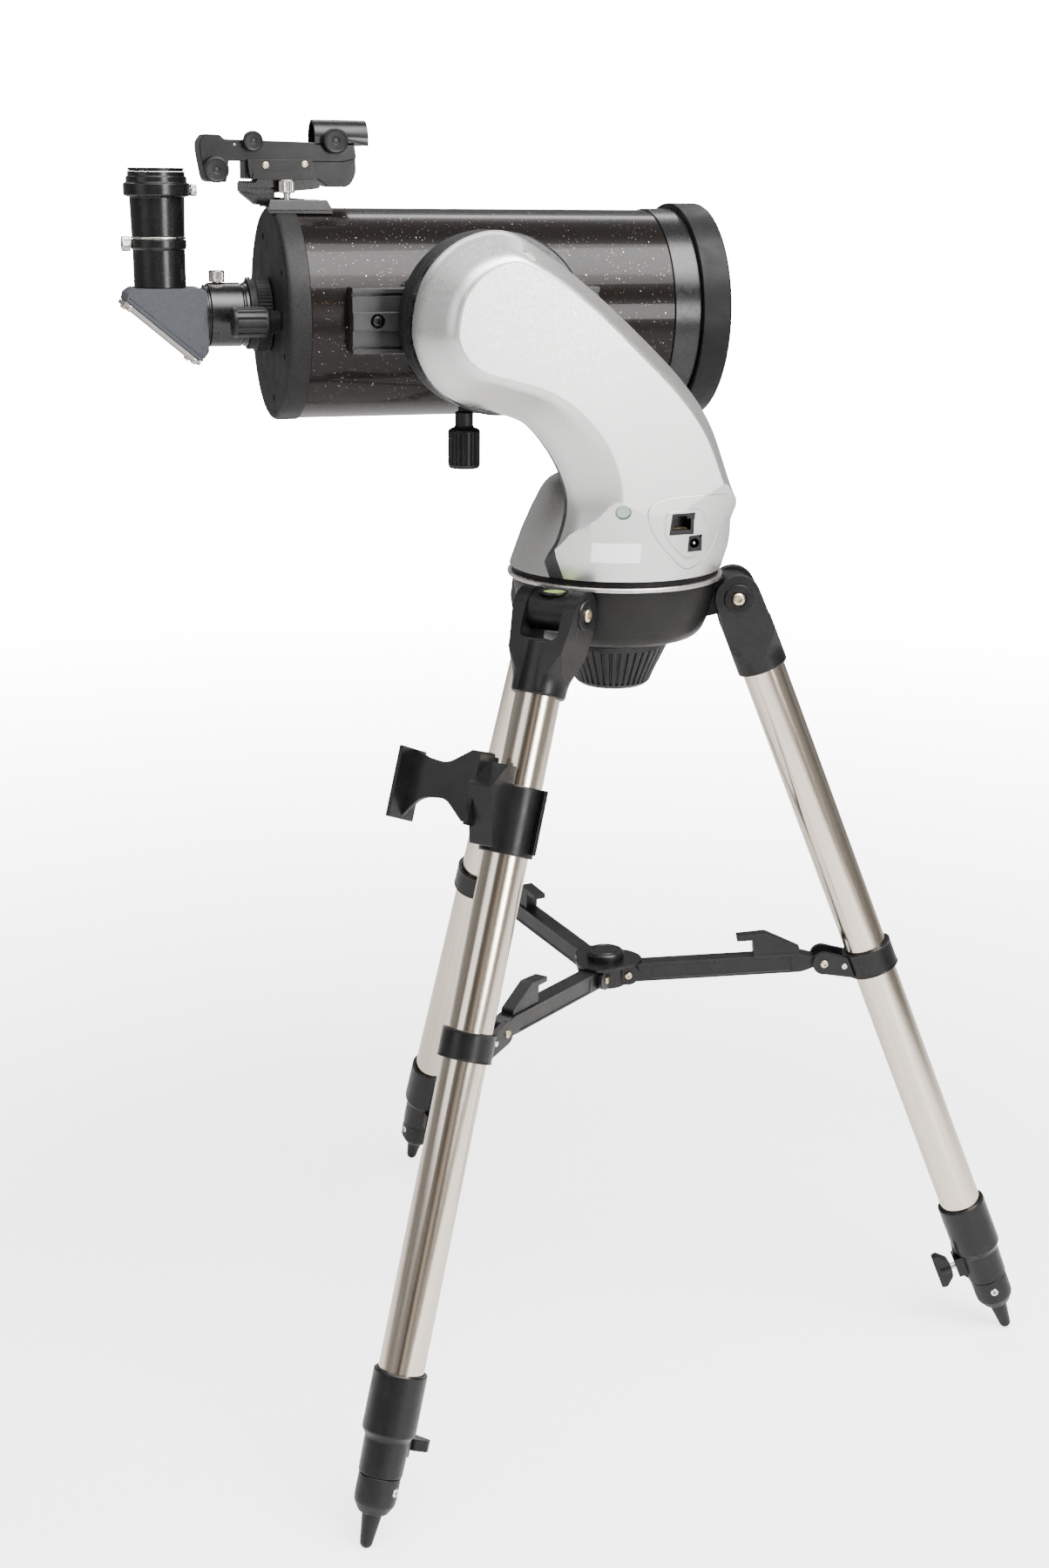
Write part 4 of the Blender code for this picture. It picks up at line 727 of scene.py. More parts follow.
def reflex_finder():
    body = "optical_tube"
    shoe = [
        (0.046, 0.869), (0.048, 0.876), (0.054, 0.876), (0.0575, 0.8722), (0.0725, 0.8722), (0.076, 0.876),
        (0.082, 0.876), (0.084, 0.869), (0.084, 0.86), (0.046, 0.86),
    ]
    work = prism(shoe, -0.239, -0.195, "YZ", 0.0006)
    end = prism(
        [(-0.245, 0.85), (-0.19, 0.85), (-0.1945, 0.869), (-0.1985, 0.8765), (-0.2375, 0.8765)], 0.04, 0.09
    )
    work = common(work, end)
    hole = rod(0.0026, 0.868, 0.88, (*SHOE_SCREW, 0), "Z", 24)
    work = cut(work, rod(CELL_R + GAP, -0.26, -0.15, optic(0), "X", FINE), hole)
    show("shoe", work, body, "satin_black", ["finder_shoe"], bevel=0.0004)
    place = WORLD @ shifted(*SHOE_SCREW, 0)
    work = thumbscrew(0.0055, 0.8805, 0.889, stud_radius=0.0024, stud_end=0.8702, teeth=28)
    show("shoe_thumb", work, "shoe_screw", "nickel", ["finder_thumbscrew"], place)
    stalk = [
        (-0.254, 0.88), (-0.244, 0.8722), (-0.21, 0.8727), (-0.21, 0.8765), (-0.231, 0.8775),
        (-0.231, 0.883), (-0.254, 0.883),
    ]
    foot = prism(stalk, 0.066, 0.078, fillet=0.0006)
    table = [
        (-0.254, 0.8812), (-0.244, 0.8795), (-0.23, 0.8805), (-0.205, 0.8828), (-0.2005, 0.8838),
        (-0.2005, 0.8872), (-0.205, 0.8905), (-0.243, 0.8905), (-0.245, 0.8868), (-0.254, 0.8868),
    ]
    top = prism(table, 0.0605, 0.0835, fillet=0.0004)
    work = fuse(top, foot)
    work = cut(work, box((-0.25, 0.059, 0.8826), (-0.231, 0.064, 0.8838)))
    show("stalk", work, body, "satin_black", ["finder_bracket"], bevel=0.0003)
    for k in range(5):
        x = -0.2536 + 0.0018 * k
        tooth = box((x, 0.0612, 0.8866), (x + 0.0009, 0.0828, 0.888))
        show(f"stalk_tooth_{k}", tooth, body, "satin_black", bevel=0.0002)
    upper = [
        (-0.283, 0.913, 0.003), (-0.279, 0.9182), (-0.269, 0.9178), (-0.2655, 0.915), (-0.202, 0.9138),
        (-0.176, 0.9145), (-0.1745, 0.903, 0.002), (-0.185, 0.901), (-0.263, 0.901), (-0.265, 0.887),
        (-0.279, 0.887, 0.004), (-0.2822, 0.9046, 0.002),
    ]
    work = prism(upper, 0.06, 0.084, fillet=0.0008)
    work = cut(work, box((-0.1985, 0.064, 0.9085), (-0.17, 0.08, 0.92)))
    show("finder_upper", work, body, "plastic_black", ["finder_body"], bevel=0.0007)
    lower = [
        (-0.252, 0.9045), (-0.185, 0.9045), (-0.1752, 0.9045, 0.002), (-0.1745, 0.893, 0.005),
        (-0.18, 0.8845, 0.004), (-0.195, 0.8845, 0.002), (-0.201, 0.8893), (-0.252, 0.8893),
    ]
    show("finder_lower", prism(lower, 0.0608, 0.0832), body, "plastic_black", bevel=0.0009)
    clamp = [
        (-0.251, 0.9022), (-0.2065, 0.9022), (-0.203, 0.895), (-0.203, 0.8893), (-0.248, 0.8893),
        (-0.25, 0.892),
    ]
    show("finder_clamp", prism(clamp, 0.0572, 0.0606, fillet=0.0004), body, "plastic_black", bevel=0.0004)
    lip = [(-0.247, 0.8936), (-0.204, 0.8936), (-0.203, 0.8893), (-0.248, 0.8893)]
    show("finder_clamp_lip", prism(lip, 0.0562, 0.0573, fillet=0.0002), body, "plastic_black", bevel=0.0003)
    for i, (x, z) in enumerate(((-0.2385, 0.8983), (-0.2115, 0.8992))):
        screw(f"clamp_screw_{i}", body, (x, 0.0572, z), (0, -1, 0), 0.0024, 0.0012)
    screw("finder_pin", body, (-0.259, 0.06, 0.9115), (0, -1, 0), 0.0008, 0.0004, "bright_screw")
    arch = [(0.06, 0.912), (0.06, 0.918)] + arc((0.072, 0.917), 0.012, 180, 0, 20) + [(0.084, 0.912)]
    inside = arc((0.072, 0.917), 0.0104, 0, 180, 20)
    arch += [(0.0824, 0.912), *inside, (0.0616, 0.912)]
    hood = prism(arch, -0.2035, -0.166, "YZ", 0)
    side = [(-0.203, 0.912), (-0.2002, 0.9292), (-0.168, 0.9292), (-0.1718, 0.912)]
    hood = common(hood, prism(side, 0.05, 0.09, fillet=0))
    show("finder_hood", hood, body, "plastic_black", bevel=0.0003)
    lens = moved(rod(0.0101, -0.0006, 0.0006, axis="X", sides=64), turned(-14, "Y"))
    lens = moved(lens, shifted(-0.1795, 0.072, 0.917))
    show("finder_lens", lens, body, "glass")
    for name, knob_body, (x, z), radius, nodes in (
        ("power_disc", "power_knob", POWER_KNOB, 0.0085, ["finder_power_knob"]),
        ("tilt_disc", "tilt_knob", TILT_KNOB, 0.0085, ["finder_tilt_knob"]),
        ("pan_disc", body, PAN_KNOB, 0.0067, []),
    ):
        place = WORLD @ shifted(x, 0, z)
        show(name, disc_knob(radius), knob_body, "plastic_black", nodes, place, paint="knob_rubber")
        screw(
            name + "_screw", knob_body, (x, 0.0547, z), (0, -1, 0), 0.0014, 0.0004, "dark_screw", cross=True
        )


KNOB_X, KNOB_Y, KNOB_R = -0.1225, -0.03, 0.011
BAR_BACK, BAR_FRONT, BAR_SCREWS_X = -0.195, -0.02, (-0.178, -0.037)
SADDLE_R, SADDLE_ROOM_R = 0.06, 0.062


def saddle_and_bar():
    body = "optical_tube"
    profile = [
        (-0.022, 0.0045), (-0.022, -0.0095), (-0.0212, -0.012), (-0.0185, -0.012), (-0.0185, -0.009),
        (-0.0165, -0.009), (-0.0165, -0.0112), (-0.0062, -0.0112), (-0.006, -0.0136), (0.0058, -0.0136),
        (0.006, -0.0112), (0.0165, -0.0112), (0.0165, -0.009), (0.0185, -0.009), (0.0185, -0.012),
        (0.0212, -0.012), (0.022, -0.0095), (0.022, 0.0045),
    ]
    outline = [(y, OPTIC_Z + z) for z, y in profile]
    bar = prism(outline, BAR_BACK, BAR_FRONT, "YZ", 0.0002)
    bar = cut(bar, rod(TUBE_R + GAP, -0.25, 0.1, optic(0), "X", FINE))
    bar = cut(bar, *(rod(0.005, -0.02, -0.009, (x, 0, OPTIC_Z), "Y", 40) for x in BAR_SCREWS_X))
    show("mount_bar", bar, body, "satin_black", ["dovetail_bar"], bevel=0.0004, paint="bar_black")
    for i, x in enumerate(BAR_SCREWS_X):
        screw(f"bar_screw_{i}", body, (x, -0.0092, OPTIC_Z), (0, -1, 0), 0.004, 0.0034, "dark_screw")
    centre = (ALT_X, 0, OPTIC_Z)
    disc = [
        (0, -0.0402), (0.059, -0.0402), (SADDLE_R, -0.0392), (SADDLE_R, -0.03), (0.0594, -0.0294),
        (0.0594, -0.0286), (SADDLE_R, -0.028), (SADDLE_R, -0.014), (0.0588, -0.0125), (0, -0.0125),
    ]
    left, right = ALT_X - 0.03, ALT_X + 0.03
    jaws = [
        prism([(left, low), (right, low), (right, low + 0.006), (left, low + 0.006)], -0.016, -0.004)
        for low in (OPTIC_Z + 0.0224, OPTIC_Z - 0.0284)
    ]
    work = fuse(lathe(disc, centre, "Y", 160), *jaws)
    work = cut(work, rod(0.0044, 0.73, 0.7535, (KNOB_X, KNOB_Y, 0), "Z", 32))
    show("saddle_disc", work, body, "satin_black", ["saddle"], paint="cast_black", bevel=0.0003)
    knob = [
        (0, 0.752), (0.004, 0.752), (0.004, 0.7398), (0.0062, 0.739, 0.0006), (0.0062, 0.73),
        (0.0072, 0.7285, 0.001), (0.01, 0.7278, 0.0008), (KNOB_R, 0.7262), (KNOB_R, 0.7258),
        (KNOB_R, 0.7042), (KNOB_R, 0.7038), (0.0102, 0.7012, 0.001), (0.007, 0.701), (0.006, 0.7018),
        (0, 0.7018),
    ]
    ribs = fluted(20, 0.0012, 0.704, 0.726, share=0.42, blur=0.12, least=0.0105)
    work = lathe(knob, (KNOB_X, KNOB_Y, 0), "Z", 200, ribs=ribs)
    show("saddle_grip", work, "saddle_clamp", "plastic_black", ["saddle_knob"], paint="knob_rubber")
    bearing = [
        (SADDLE_R, -0.0408), (SADDLE_R, -0.053), (0.059, -0.054), (0.0103, -0.054), (0.0103, -0.0408)
    ]
    show(
        "bearing_ring", lathe(bearing, centre, "Y", 160, True), "mount", "satin_black", ["altitude_bearing"]
    )


# Arm and base. Outline points are (x, z, chamfer width), round the arm from its foot on the +X side.

HEAD = (ALT_X, 0, OPTIC_Z)
ARM_FACE, ARM_EDGE, INNER_BACK, HEEL_BACK = -0.0885, -0.06, -0.0425, -0.0205
SHELL_FLOOR = 0.6245
SHELL_BACK = -0.052  # where the silver shell meets the dark lining
ARM_OUTLINE = [
    (0.082, 0.605, 0.002),
    (0.079, 0.65, 0.004),
    (0.071, 0.672, 0.01),
    (0.0625, 0.69, 0.012),
    (0.046, 0.731, 0.013),
    (0.024, 0.761, 0.013),
    (-0.008, 0.792, 0.013),
    (-0.042, 0.821, 0.012),
    (-0.075, 0.845, 0.013),
    (-0.104, 0.859, 0.016),
    (-0.1345, 0.8518, 0.018),
    (-0.157, 0.8295, 0.019),
    (-0.165, 0.799, 0.019),
    (-0.1615, 0.778, 0.019),
    (-0.1507, 0.7598, 0.02),
    (-0.134, 0.748, 0.02),
    (-0.109, 0.741, 0.02),
    (-0.086, 0.732, 0.021),
    (-0.068, 0.712, 0.024),
    (-0.057, 0.69, 0.024),
    (-0.055, 0.672, 0.022),
    (-0.06, 0.652, 0.016),
    (-0.068, 0.638, 0.009),
    (-0.082, 0.605, 0.003),
]
# Radius that the arm's foot keeps inside, against height
FOOT_PROFILE = [
    (0.0768, SHELL_FLOOR, 0.001),
    (0.0812, 0.64, 0.006),
    (0.084, 0.658, 0.008),
    (0.089, 0.675, 0.008),
    (0.097, 0.69, 0.008),
    (0.112, 0.706, 0.008),
    (0.14, 0.72, 0.008),
    (0.21, 0.735),
    (0.21, 0.88),
]


def smooth_loop(points, steps):
    """A closed Catmull-Rom curve through the points."""
    vectors = [Vector(point) for point in points]
    found = []
    for i, start in enumerate(vectors):
        before, end, after = (vectors[(i + k) % len(vectors)] for k in (-1, 1, 2))
        for step in range(steps):
            t = step / steps
            square, cube = t**2, t**3
            place = 2 * start + (end - before) * t + (2 * before - 5 * start + 4 * end - after) * square
            found.append(0.5 * (place + (3 * start - before - 3 * end + after) * cube))
    return found


ARM_LOOP = smooth_loop(ARM_OUTLINE, 10)


def arm_row(work, y, share, inset=0.0):
    row = []
    for i, point in enumerate(ARM_LOOP):
        ahead, behind = ARM_LOOP[(i + 1) % len(ARM_LOOP)], ARM_LOOP[i - 1]
        tangent = Vector((ahead.x - behind.x, ahead.y - behind.y)).normalized()
        place = Vector((point.x, point.y)) + Vector((-tangent.y, tangent.x)) * (point.z * share + inset)
        row.append(work.verts.new((place.x, y, place.y)))
    return row


def arm_loft(rows):
    """A closed body through rows of (y, share, inset)."""
    work = bmesh.new()
    made = [arm_row(work, *row) for row in rows]
    for first, second in zip(made, made[1:]):
        for i in range(len(first)):
            j = (i + 1) % len(first)
            work.faces.new((first[i], first[j], second[j], second[i]))
    work.faces.new(made[0])
    work.faces.new(made[-1])
    return work


def soft_section(steps=7):
    """Rows from the shell's back edge to its face, with both edges of the chamfer rounded."""
    rows = [(SHELL_BACK, 0.0, 0.0)]
    for start, corner, end in (
        ((0.0, ARM_EDGE + 0.0075), (0.0, ARM_EDGE), (0.24, ARM_EDGE - 0.24 * (ARM_EDGE - ARM_FACE))),
        ((0.74, ARM_FACE + 0.26 * (ARM_EDGE - ARM_FACE)), (1.0, ARM_FACE), (1.24, ARM_FACE)),
    ):
        for k in range(steps + 1):
            t = k / steps
            share, y = (
                a * (1 - t) ** 2 + b * 2 * t * (1 - t) + c * t**2 for a, b, c in zip(start, corner, end)
            )
            rows.append((y, share, 0.0))
    return rows


def on_surface(tree, x, z, lift=0.0):
    """The point of the arm's outer face at x and z, and the face's direction."""
    hit, normal, _, _ = tree.ray_cast(Vector((x, -0.2, z)), Vector((0, 1, 0)))
    return hit + normal * lift, normal


GROOVE_R, GROOVE_SIDES, GROOVE_TWIST = 0.00055, 8, 0.2


def groove_tool(tree, points, radius):
    """A tube along a closed outline laid on the shell."""
    path = [on_surface(tree, p.x, p.y)[0] for p in points]
    work = bmesh.new()
    rows = []
    for i, place in enumerate(path):
        ahead = (path[(i + 1) % len(path)] - path[i - 1]).normalized()
        across = ahead.cross(Vector((0, 1, 0))).normalized()
        out = across.cross(ahead)
        angles = (k * math.pi / 4 + GROOVE_TWIST for k in range(GROOVE_SIDES))
        ring = [(across * math.cos(a) + out * math.sin(a)) * radius for a in angles]
        rows.append([work.verts.new(place + spoke) for spoke in ring])
    for i, row in enumerate(rows):
        beyond = rows[(i + 1) % len(rows)]
        for k in range(GROOVE_SIDES):
            j = (k + 1) % GROOVE_SIDES
            work.faces.new((row[k], row[j], beyond[j], beyond[k]))
    return work


def cover_frame(tree, x, z):
    """A frame on the shell at x and z with Z pointing out of it."""
    spot, normal = on_surface(tree, x, z)
    return Matrix.Translation(spot) @ normal.to_track_quat("Z", "Y").to_matrix().to_4x4()


PANEL = [
    (-0.007, 0.679), (0.012, 0.685), (0.047, 0.685), (0.052, 0.68), (0.053, 0.659), (0.045, 0.642),
    (0.033, 0.6335), (0.021, 0.6345), (0.001, 0.654), (-0.008, 0.669),
]
INNER_PANEL = [
    (0.0065, 0.6745), (0.029, 0.6755), (0.037, 0.667), (0.0395, 0.657), (0.037, 0.645), (0.027, 0.64),
    (0.019, 0.644), (0.007, 0.656), (0.0045, 0.665),
]
PORTS = ((0.009, 0.027, 0.658, 0.673, -0.083), (0.025, 0.036, 0.645, 0.656, -0.0765))
PORT_DEPTH = 0.014
COVERS, COVER_R = ((-0.092, 0.844), (-0.026, 0.675)), 0.0056
HEEL_LEFT, HEEL_END = -0.02, -0.0203
HEEL = [
    (HEEL_LEFT, 0.61), (0.076, 0.61), (0.0758, 0.63, 0.008), (0.0732, 0.648, 0.012), (0.0668, 0.664, 0.012),
    (0.056, 0.68, 0.01), (0.045, 0.69), (HEEL_LEFT, 0.66),
]
LABEL_LOW, LABEL_SIZE, LABEL_CELLS = (-0.043, 0.639), (0.032, 0.014), (16, 6)
LABEL_LIFT = 0.00012
# (radius, height) of the low cover beside the arm, from its top down
DOME = [
    (0, 0.692), (0.03, 0.6915), (0.042, 0.6895), (0.0505, 0.6849), (0.0553, 0.6777), (0.0612, 0.6657),
    (0.0681, 0.6498), (0.074, 0.6327), (0.0768, SHELL_FLOOR), (0, SHELL_FLOOR),
]


def foot_envelope():
    """The round space that the arm's foot is kept inside."""
    return lathe([(0, 0.88), *reversed(FOOT_PROFILE), (0, SHELL_FLOOR)], sides=256, fillet=0)


def saddle_room(low, high):
    """The round recess for the saddle and its bearing."""
    return rod(SADDLE_ROOM_R, low, high, HEAD, "Y", 160)


def label_plate(tree):
    """A blank label that follows the shell."""
    work = bmesh.new()
    xs, zs = (
        [low + size * k / cells for k in range(cells + 1)]
        for low, size, cells in zip(LABEL_LOW, LABEL_SIZE, LABEL_CELLS)
    )
    grid = [[work.verts.new(on_surface(tree, x, z, LABEL_LIFT)[0]) for x in xs] for z in zs]
    for row, above in zip(grid, grid[1:]):
        for k in range(len(xs) - 1):
            work.faces.new((row[k], row[k + 1], above[k + 1], above[k]))
    return work


def arm_lining():
    """The dark inner half of the arm, a little smaller all round than the shell."""
    rows = [
        (INNER_BACK, 0, 0.0016), (INNER_BACK - 0.0004, 0, 0.001), (INNER_BACK - 0.0012, 0, 0.0006),
        (SHELL_BACK + GAP, 0, 0.0006),
    ]
    heel_space = [(HEEL_END, 0.6), (0.1, 0.6), (0.1, 0.6803), (0.0603, 0.6903), (HEEL_END, 0.6603)]
    heel_space = prism(heel_space, -0.06, HEEL_BACK + GAP)
    return cut(common(arm_loft(rows), foot_envelope()), saddle_room(-0.06, 0.01), heel_space)


def hump_cover():
    """The low silver cover on the turntable, open where the arm stands, with its seam."""
    cover = lathe([(r, z, 0.004) if 0.04 < r < 0.0765 else (r, z) for r, z in DOME], sides=FINE)
    room_end = SHELL_FLOOR - 0.01
    room = lathe([(0, 0.684), (0.04, 0.682), (0.068, room_end), (0, room_end)])
    front = box((-0.1, -0.1, 0.6), (0.1, INNER_BACK + GAP, 0.7))
    heel_room = box((HEEL_END, -0.1, 0.6), (0.1, HEEL_BACK + GAP, 0.7))
    skin = lathe([(max(r - 0.0005, 0), z - 0.0005) for r, z in DOME], sides=FINE, fillet=0)
    seam = cut(box((-0.1, 0.0098, 0.6), (0.1, 0.0102, 0.72)), skin)
    return cut(cover, front, heel_room, room, seam)


def arm():
    body = "mount"
    heel = prism(HEEL, SHELL_BACK - 0.004, HEEL_BACK, fillet=0.002)
    shell = common(fuse(arm_loft(soft_section()), heel), foot_envelope())
    tree = BVHTree.FromBMesh(shell)
    tools = [saddle_room(-0.0543, -0.01)]
    for x0, x1, z0, z1, front in PORTS:
        tools.append(box((x0 - GAP, -0.1, z0 - GAP), (x1 + GAP, front + PORT_DEPTH + GAP, z1 + GAP)))
    for x, z in COVERS:
        tools.append(moved(rod(COVER_R, -0.0024, 0.01, sides=64), cover_frame(tree, x, z)))
    for points in (PANEL, INNER_PANEL):
        tools.append(groove_tool(tree, smooth_loop(points, 10), GROOVE_R))
    show("arm_shell", cut(shell, *tools), body, "silver_paint", ["arm_outer_shell"], angle=38.0)
    for i, (x, z) in enumerate(COVERS):
        cap = [(0, 0.0014), (0.0045, 0.0012), (0.0054, 0.0002), (0.0054, -0.001), (0, -0.001)]
        place = WORLD @ cover_frame(tree, x, z) @ shifted(0, 0, -0.0022)
        show(f"screw_cover_{i}", lathe(cap, sides=64), body, "silver_paint", (), place, paint="plug_green")
    show("label_plate", label_plate(tree), body, "silver_paint", paint="label")
    show("arm_lining", arm_lining(), body, "dark_grey", ["arm_inner_shell"])
    show("hump_cover", hump_cover(), body, "silver_paint", ["base_cover"])


def sockets():
    body = "mount"
    (x0, x1, z0, z1, front), power = PORTS
    shell = box((x0, front, z0), (x1, front + PORT_DEPTH, z1))
    step = z1 - 0.004
    mouth = [
        (x0 + 0.0025, z0 + 0.003), (x1 - 0.0025, z0 + 0.003), (x1 - 0.0025, step), (x1 - 0.0055, step),
        (x1 - 0.0055, z1 - 0.0022), (x0 + 0.0055, z1 - 0.0022), (x0 + 0.0055, step), (x0 + 0.0025, step),
    ]
    shell = cut(shell, prism(mouth, front - 0.01, front + PORT_DEPTH - 0.002, "XZ", 0.0002))
    show("handset_jack", shell, body, "plastic_black", ["handset_socket"], bevel=0.0003)
    for k in range(6):
        x = x0 + 0.0048 + 0.00168 * k
        wire = box((x, front + 0.003, z0 + 0.0034), (x + 0.0005, front + 0.0118, z0 + 0.0042))
        show(f"jack_contact_{k}", wire, body, "nickel", bevel=0.0001, paint="brass_zinc")
    x0, x1, z0, z1, front = power
    outline = [
        (x0, z0), (x1, z0), (x1, z1 - 0.0025, 0.001), (x1 - 0.0025, z1, 0.001), (x0 + 0.0025, z1, 0.001),
        (x0, z1 - 0.0025, 0.001),
    ]
    middle = ((x0 + x1) / 2, 0, (z0 + z1) / 2)
    bore = rod(0.0034, front - 0.01, front + 0.01, middle, "Y")
    shell = cut(prism(outline, front, front + PORT_DEPTH, fillet=0.0003), bore)
    show("power_jack", shell, body, "plastic_black", ["power_socket"], bevel=0.0003)
    pin = [(0, -0.0016), (0.0007, -0.0016, 0.0004), (0.001, -0.0012), (0.001, -0.012), (0, -0.012)]
    pin = moved(lathe(pin, middle, "Y", 24), shifted(0, front + 0.0125, 0))
    show("power_pin", pin, body, "nickel")


def base():
    table = [
        (0.075, 0.6242), (0.075, 0.6206), (0.012, 0.6206), (0.012, 0.602), (0.004, 0.602), (0.004, 0.6242)
    ]
    show(
        "turntable_disc", lathe(table, sides=FINE, ring=True), "mount", "dark_grey", ["turntable"],
        paint="cap_black",
    )
    trim = [
        (0.0774, 0.6203), (0.078, 0.6198), (0.078, 0.6176), (0.0774, 0.6171), (0.06, 0.6171), (0.06, 0.6203)
    ]
    show(
        "trim_band", lathe(trim, sides=224, ring=True, fillet=0.0003), "tripod", "nickel", ["trim_ring"],
        paint="satin_nickel",
    )


# Tripod

LEG_AZIMUTHS = (-137.5, -17.5, 102.5)
LEG_TILT, HINGE_R, HINGE_Z = 22.1, 0.0885, 0.6037
LEG_TUBE_R, INNER_R, FOOT_BALL = 0.0159, 0.0127, 0.0045
FOOT_S = (HINGE_Z - FOOT_BALL) / math.cos(math.radians(LEG_TILT))
HUB_Z, HUB_PIVOT_R, SPREAD_S, SPREAD_IN = 0.307, 0.016, 0.294, 0.0347
ARM_H, ARM_W = 0.0145, 0.013
CLAMP_S = 0.583
# Places along a leg from its hinge
SLEEVE_TOP, SLEEVE_SEAT, SLEEVE_END = -0.53, -0.5606, -0.6
COLLAR_TOP, COLLAR_END = -0.295, -0.315
CLIP_TOP, CLIP_END = -0.124, -0.172


def leg_place(azimuth):
    spin = turned(azimuth, "Z")
    return WORLD @ spin @ shifted(HINGE_R, 0, HINGE_Z) @ turned(-LEG_TILT, "Y")


def tripod_head():
    bowl = [
        (0.074, 0.6168), (0.0725, 0.605), (0.069, 0.59, 0.006), (0.065, 0.58, 0.005), (0.06, 0.575, 0.003),
        (0.054, 0.5735), (0.0436, 0.5735), (0.043, 0.575), (0.0055, 0.575), (0.0055, 0.601),
        (0.0125, 0.601), (0.0125, 0.6168),
    ]
    head = lathe(bowl, sides=FINE, ring=True)
    lug = [
        (0.0785, 0.6177, 0.001), (0.0785, 0.6166, 0.0003), (0.05, 0.6166), (0.05, 0.584), (0.074, 0.5905)
    ]
    lug += sharp(arc((HINGE_R, HINGE_Z), 0.014, -70, 90, 16))
    for azimuth in LEG_AZIMUTHS:
        spin = turned(azimuth, "Z")
        block = prism(lug, -0.0143, 0.0143)
        head = fuse(head, moved(block, spin))
    show("head_bowl", head, "tripod", "plastic_black", ["tripod_head"], bevel=0.0005, paint="bowl_black")
    first = WORLD @ turned(LEG_AZIMUTHS[0], "Z")
    place = first @ shifted(0.0895, 0, 0.6172)
    collar = [(0.0098, 0.0016, 0.0004), (0.0102, 0.0), (0.0078, 0.0), (0.0078, 0.0016, 0.0003)]
    show("level_collar", lathe(collar, ring=True, fillet=0.0002), "tripod", "plastic_black", (), place)
    vial = lathe([(0, 0.0016), (0.004, 0.0015), (0.0077, 0.001), (0.0077, 0.0001), (0, 0.0001)])
    show("level_vial", vial, "tripod", "plastic_black", (), place, paint="level_green")
    knob = [
        (0, 0.5985), (0.005, 0.5985), (0.005, 0.5732), (0.04, 0.5732), (0.0405, 0.57, 0.001),
        (0.0398, 0.5662), (0.0396, 0.5656), (0.0304, 0.546), (0.0278, 0.5395), (0.0276, 0.5391),
        (0.024, 0.5358, 0.002), (0, 0.535),
    ]
    ribs = fluted(40, 0.0014, 0.5392, 0.566, share=0.34, blur=0.1, least=0.02)
    show(
        "hub_knob", lathe(knob, sides=400, ribs=ribs), "mount_clamp", "plastic_black", ["mount_knob"],
        paint="knob_rubber",
    )


def leg_fork(place, number, body):
    """The plastic fork that holds a leg tube to its lug."""
    side = [(-0.018, -0.058), (0.017, -0.058), (0.0175, -0.03), (0.0165, 0.0, 0)]
    side += sharp(arc((0, 0), 0.0165, 10, 170, 24)) + [(-0.0165, 0.0, 0), (-0.0185, -0.022, 0.006)]
    fork = prism(side, -0.03, 0.03)
    front = [
        (-0.019, -0.059), (0.019, -0.059), (0.0215, -0.025, 0.01), (0.0245, -0.004, 0.006), (0.0245, 0.02),
        (-0.0245, 0.02), (-0.0245, -0.004, 0.006), (-0.0215, -0.025, 0.01),
    ]
    fork = common(fork, prism(front, -0.03, 0.03, "YZ"))
    sleeve = [(0, -0.024), (0.0185, -0.024), (0.0188, -0.059), (0.018, -0.06), (0, -0.06)]
    round_foot = [
        (0, 0.03), (0.04, 0.03), (0.04, -0.002), (0.029, -0.026, 0.01), (0.0196, -0.048, 0.01),
        (0.0192, -0.06), (0, -0.06),
    ]
    fork = fuse(common(fork, lathe(round_foot, sides=128)), lathe(sleeve))
    window = [
        (-0.0148, 0.03), (-0.0148, -0.02, 0.003), (-0.012, -0.0222), (0.012, -0.0222),
        (0.0148, -0.02, 0.003), (0.0148, 0.03),
    ]
    fork = cut(fork, prism(window, -0.03, 0.03, "YZ"), rod(LEG_TUBE_R + GAP, -0.07, -0.0255, sides=96))
    show(
        f"fork_{number}", fork, body, "plastic_black", [f"leg_yoke_{number}"], place, bevel=0.0009,
        segments=3,
    )
    for flank in (-1, 1):
        boss = [
            (0.01, 0.0257), (0.0106, 0.0245, 0.0005), (0.0106, 0.0235), (0.0052, 0.0235), (0.0052, 0.025),
            (0.006, 0.0257, 0.0004),
        ]
        work = lathe(boss, (0, 0, 0), "Y", 64, True, 0.0004)
        if flank < 0:
            work = moved(work, Matrix.Rotation(math.pi, 4, "Z"))
        show(f"boss_{number}_{flank + 2}", work, body, "plastic_black", (), place)
        spot = (0, flank * 0.0247, 0)
        screw(f"hinge_bolt_{number}_{flank + 2}", body, spot, (0, flank, 0), 0.0045, 0.003, place=place)


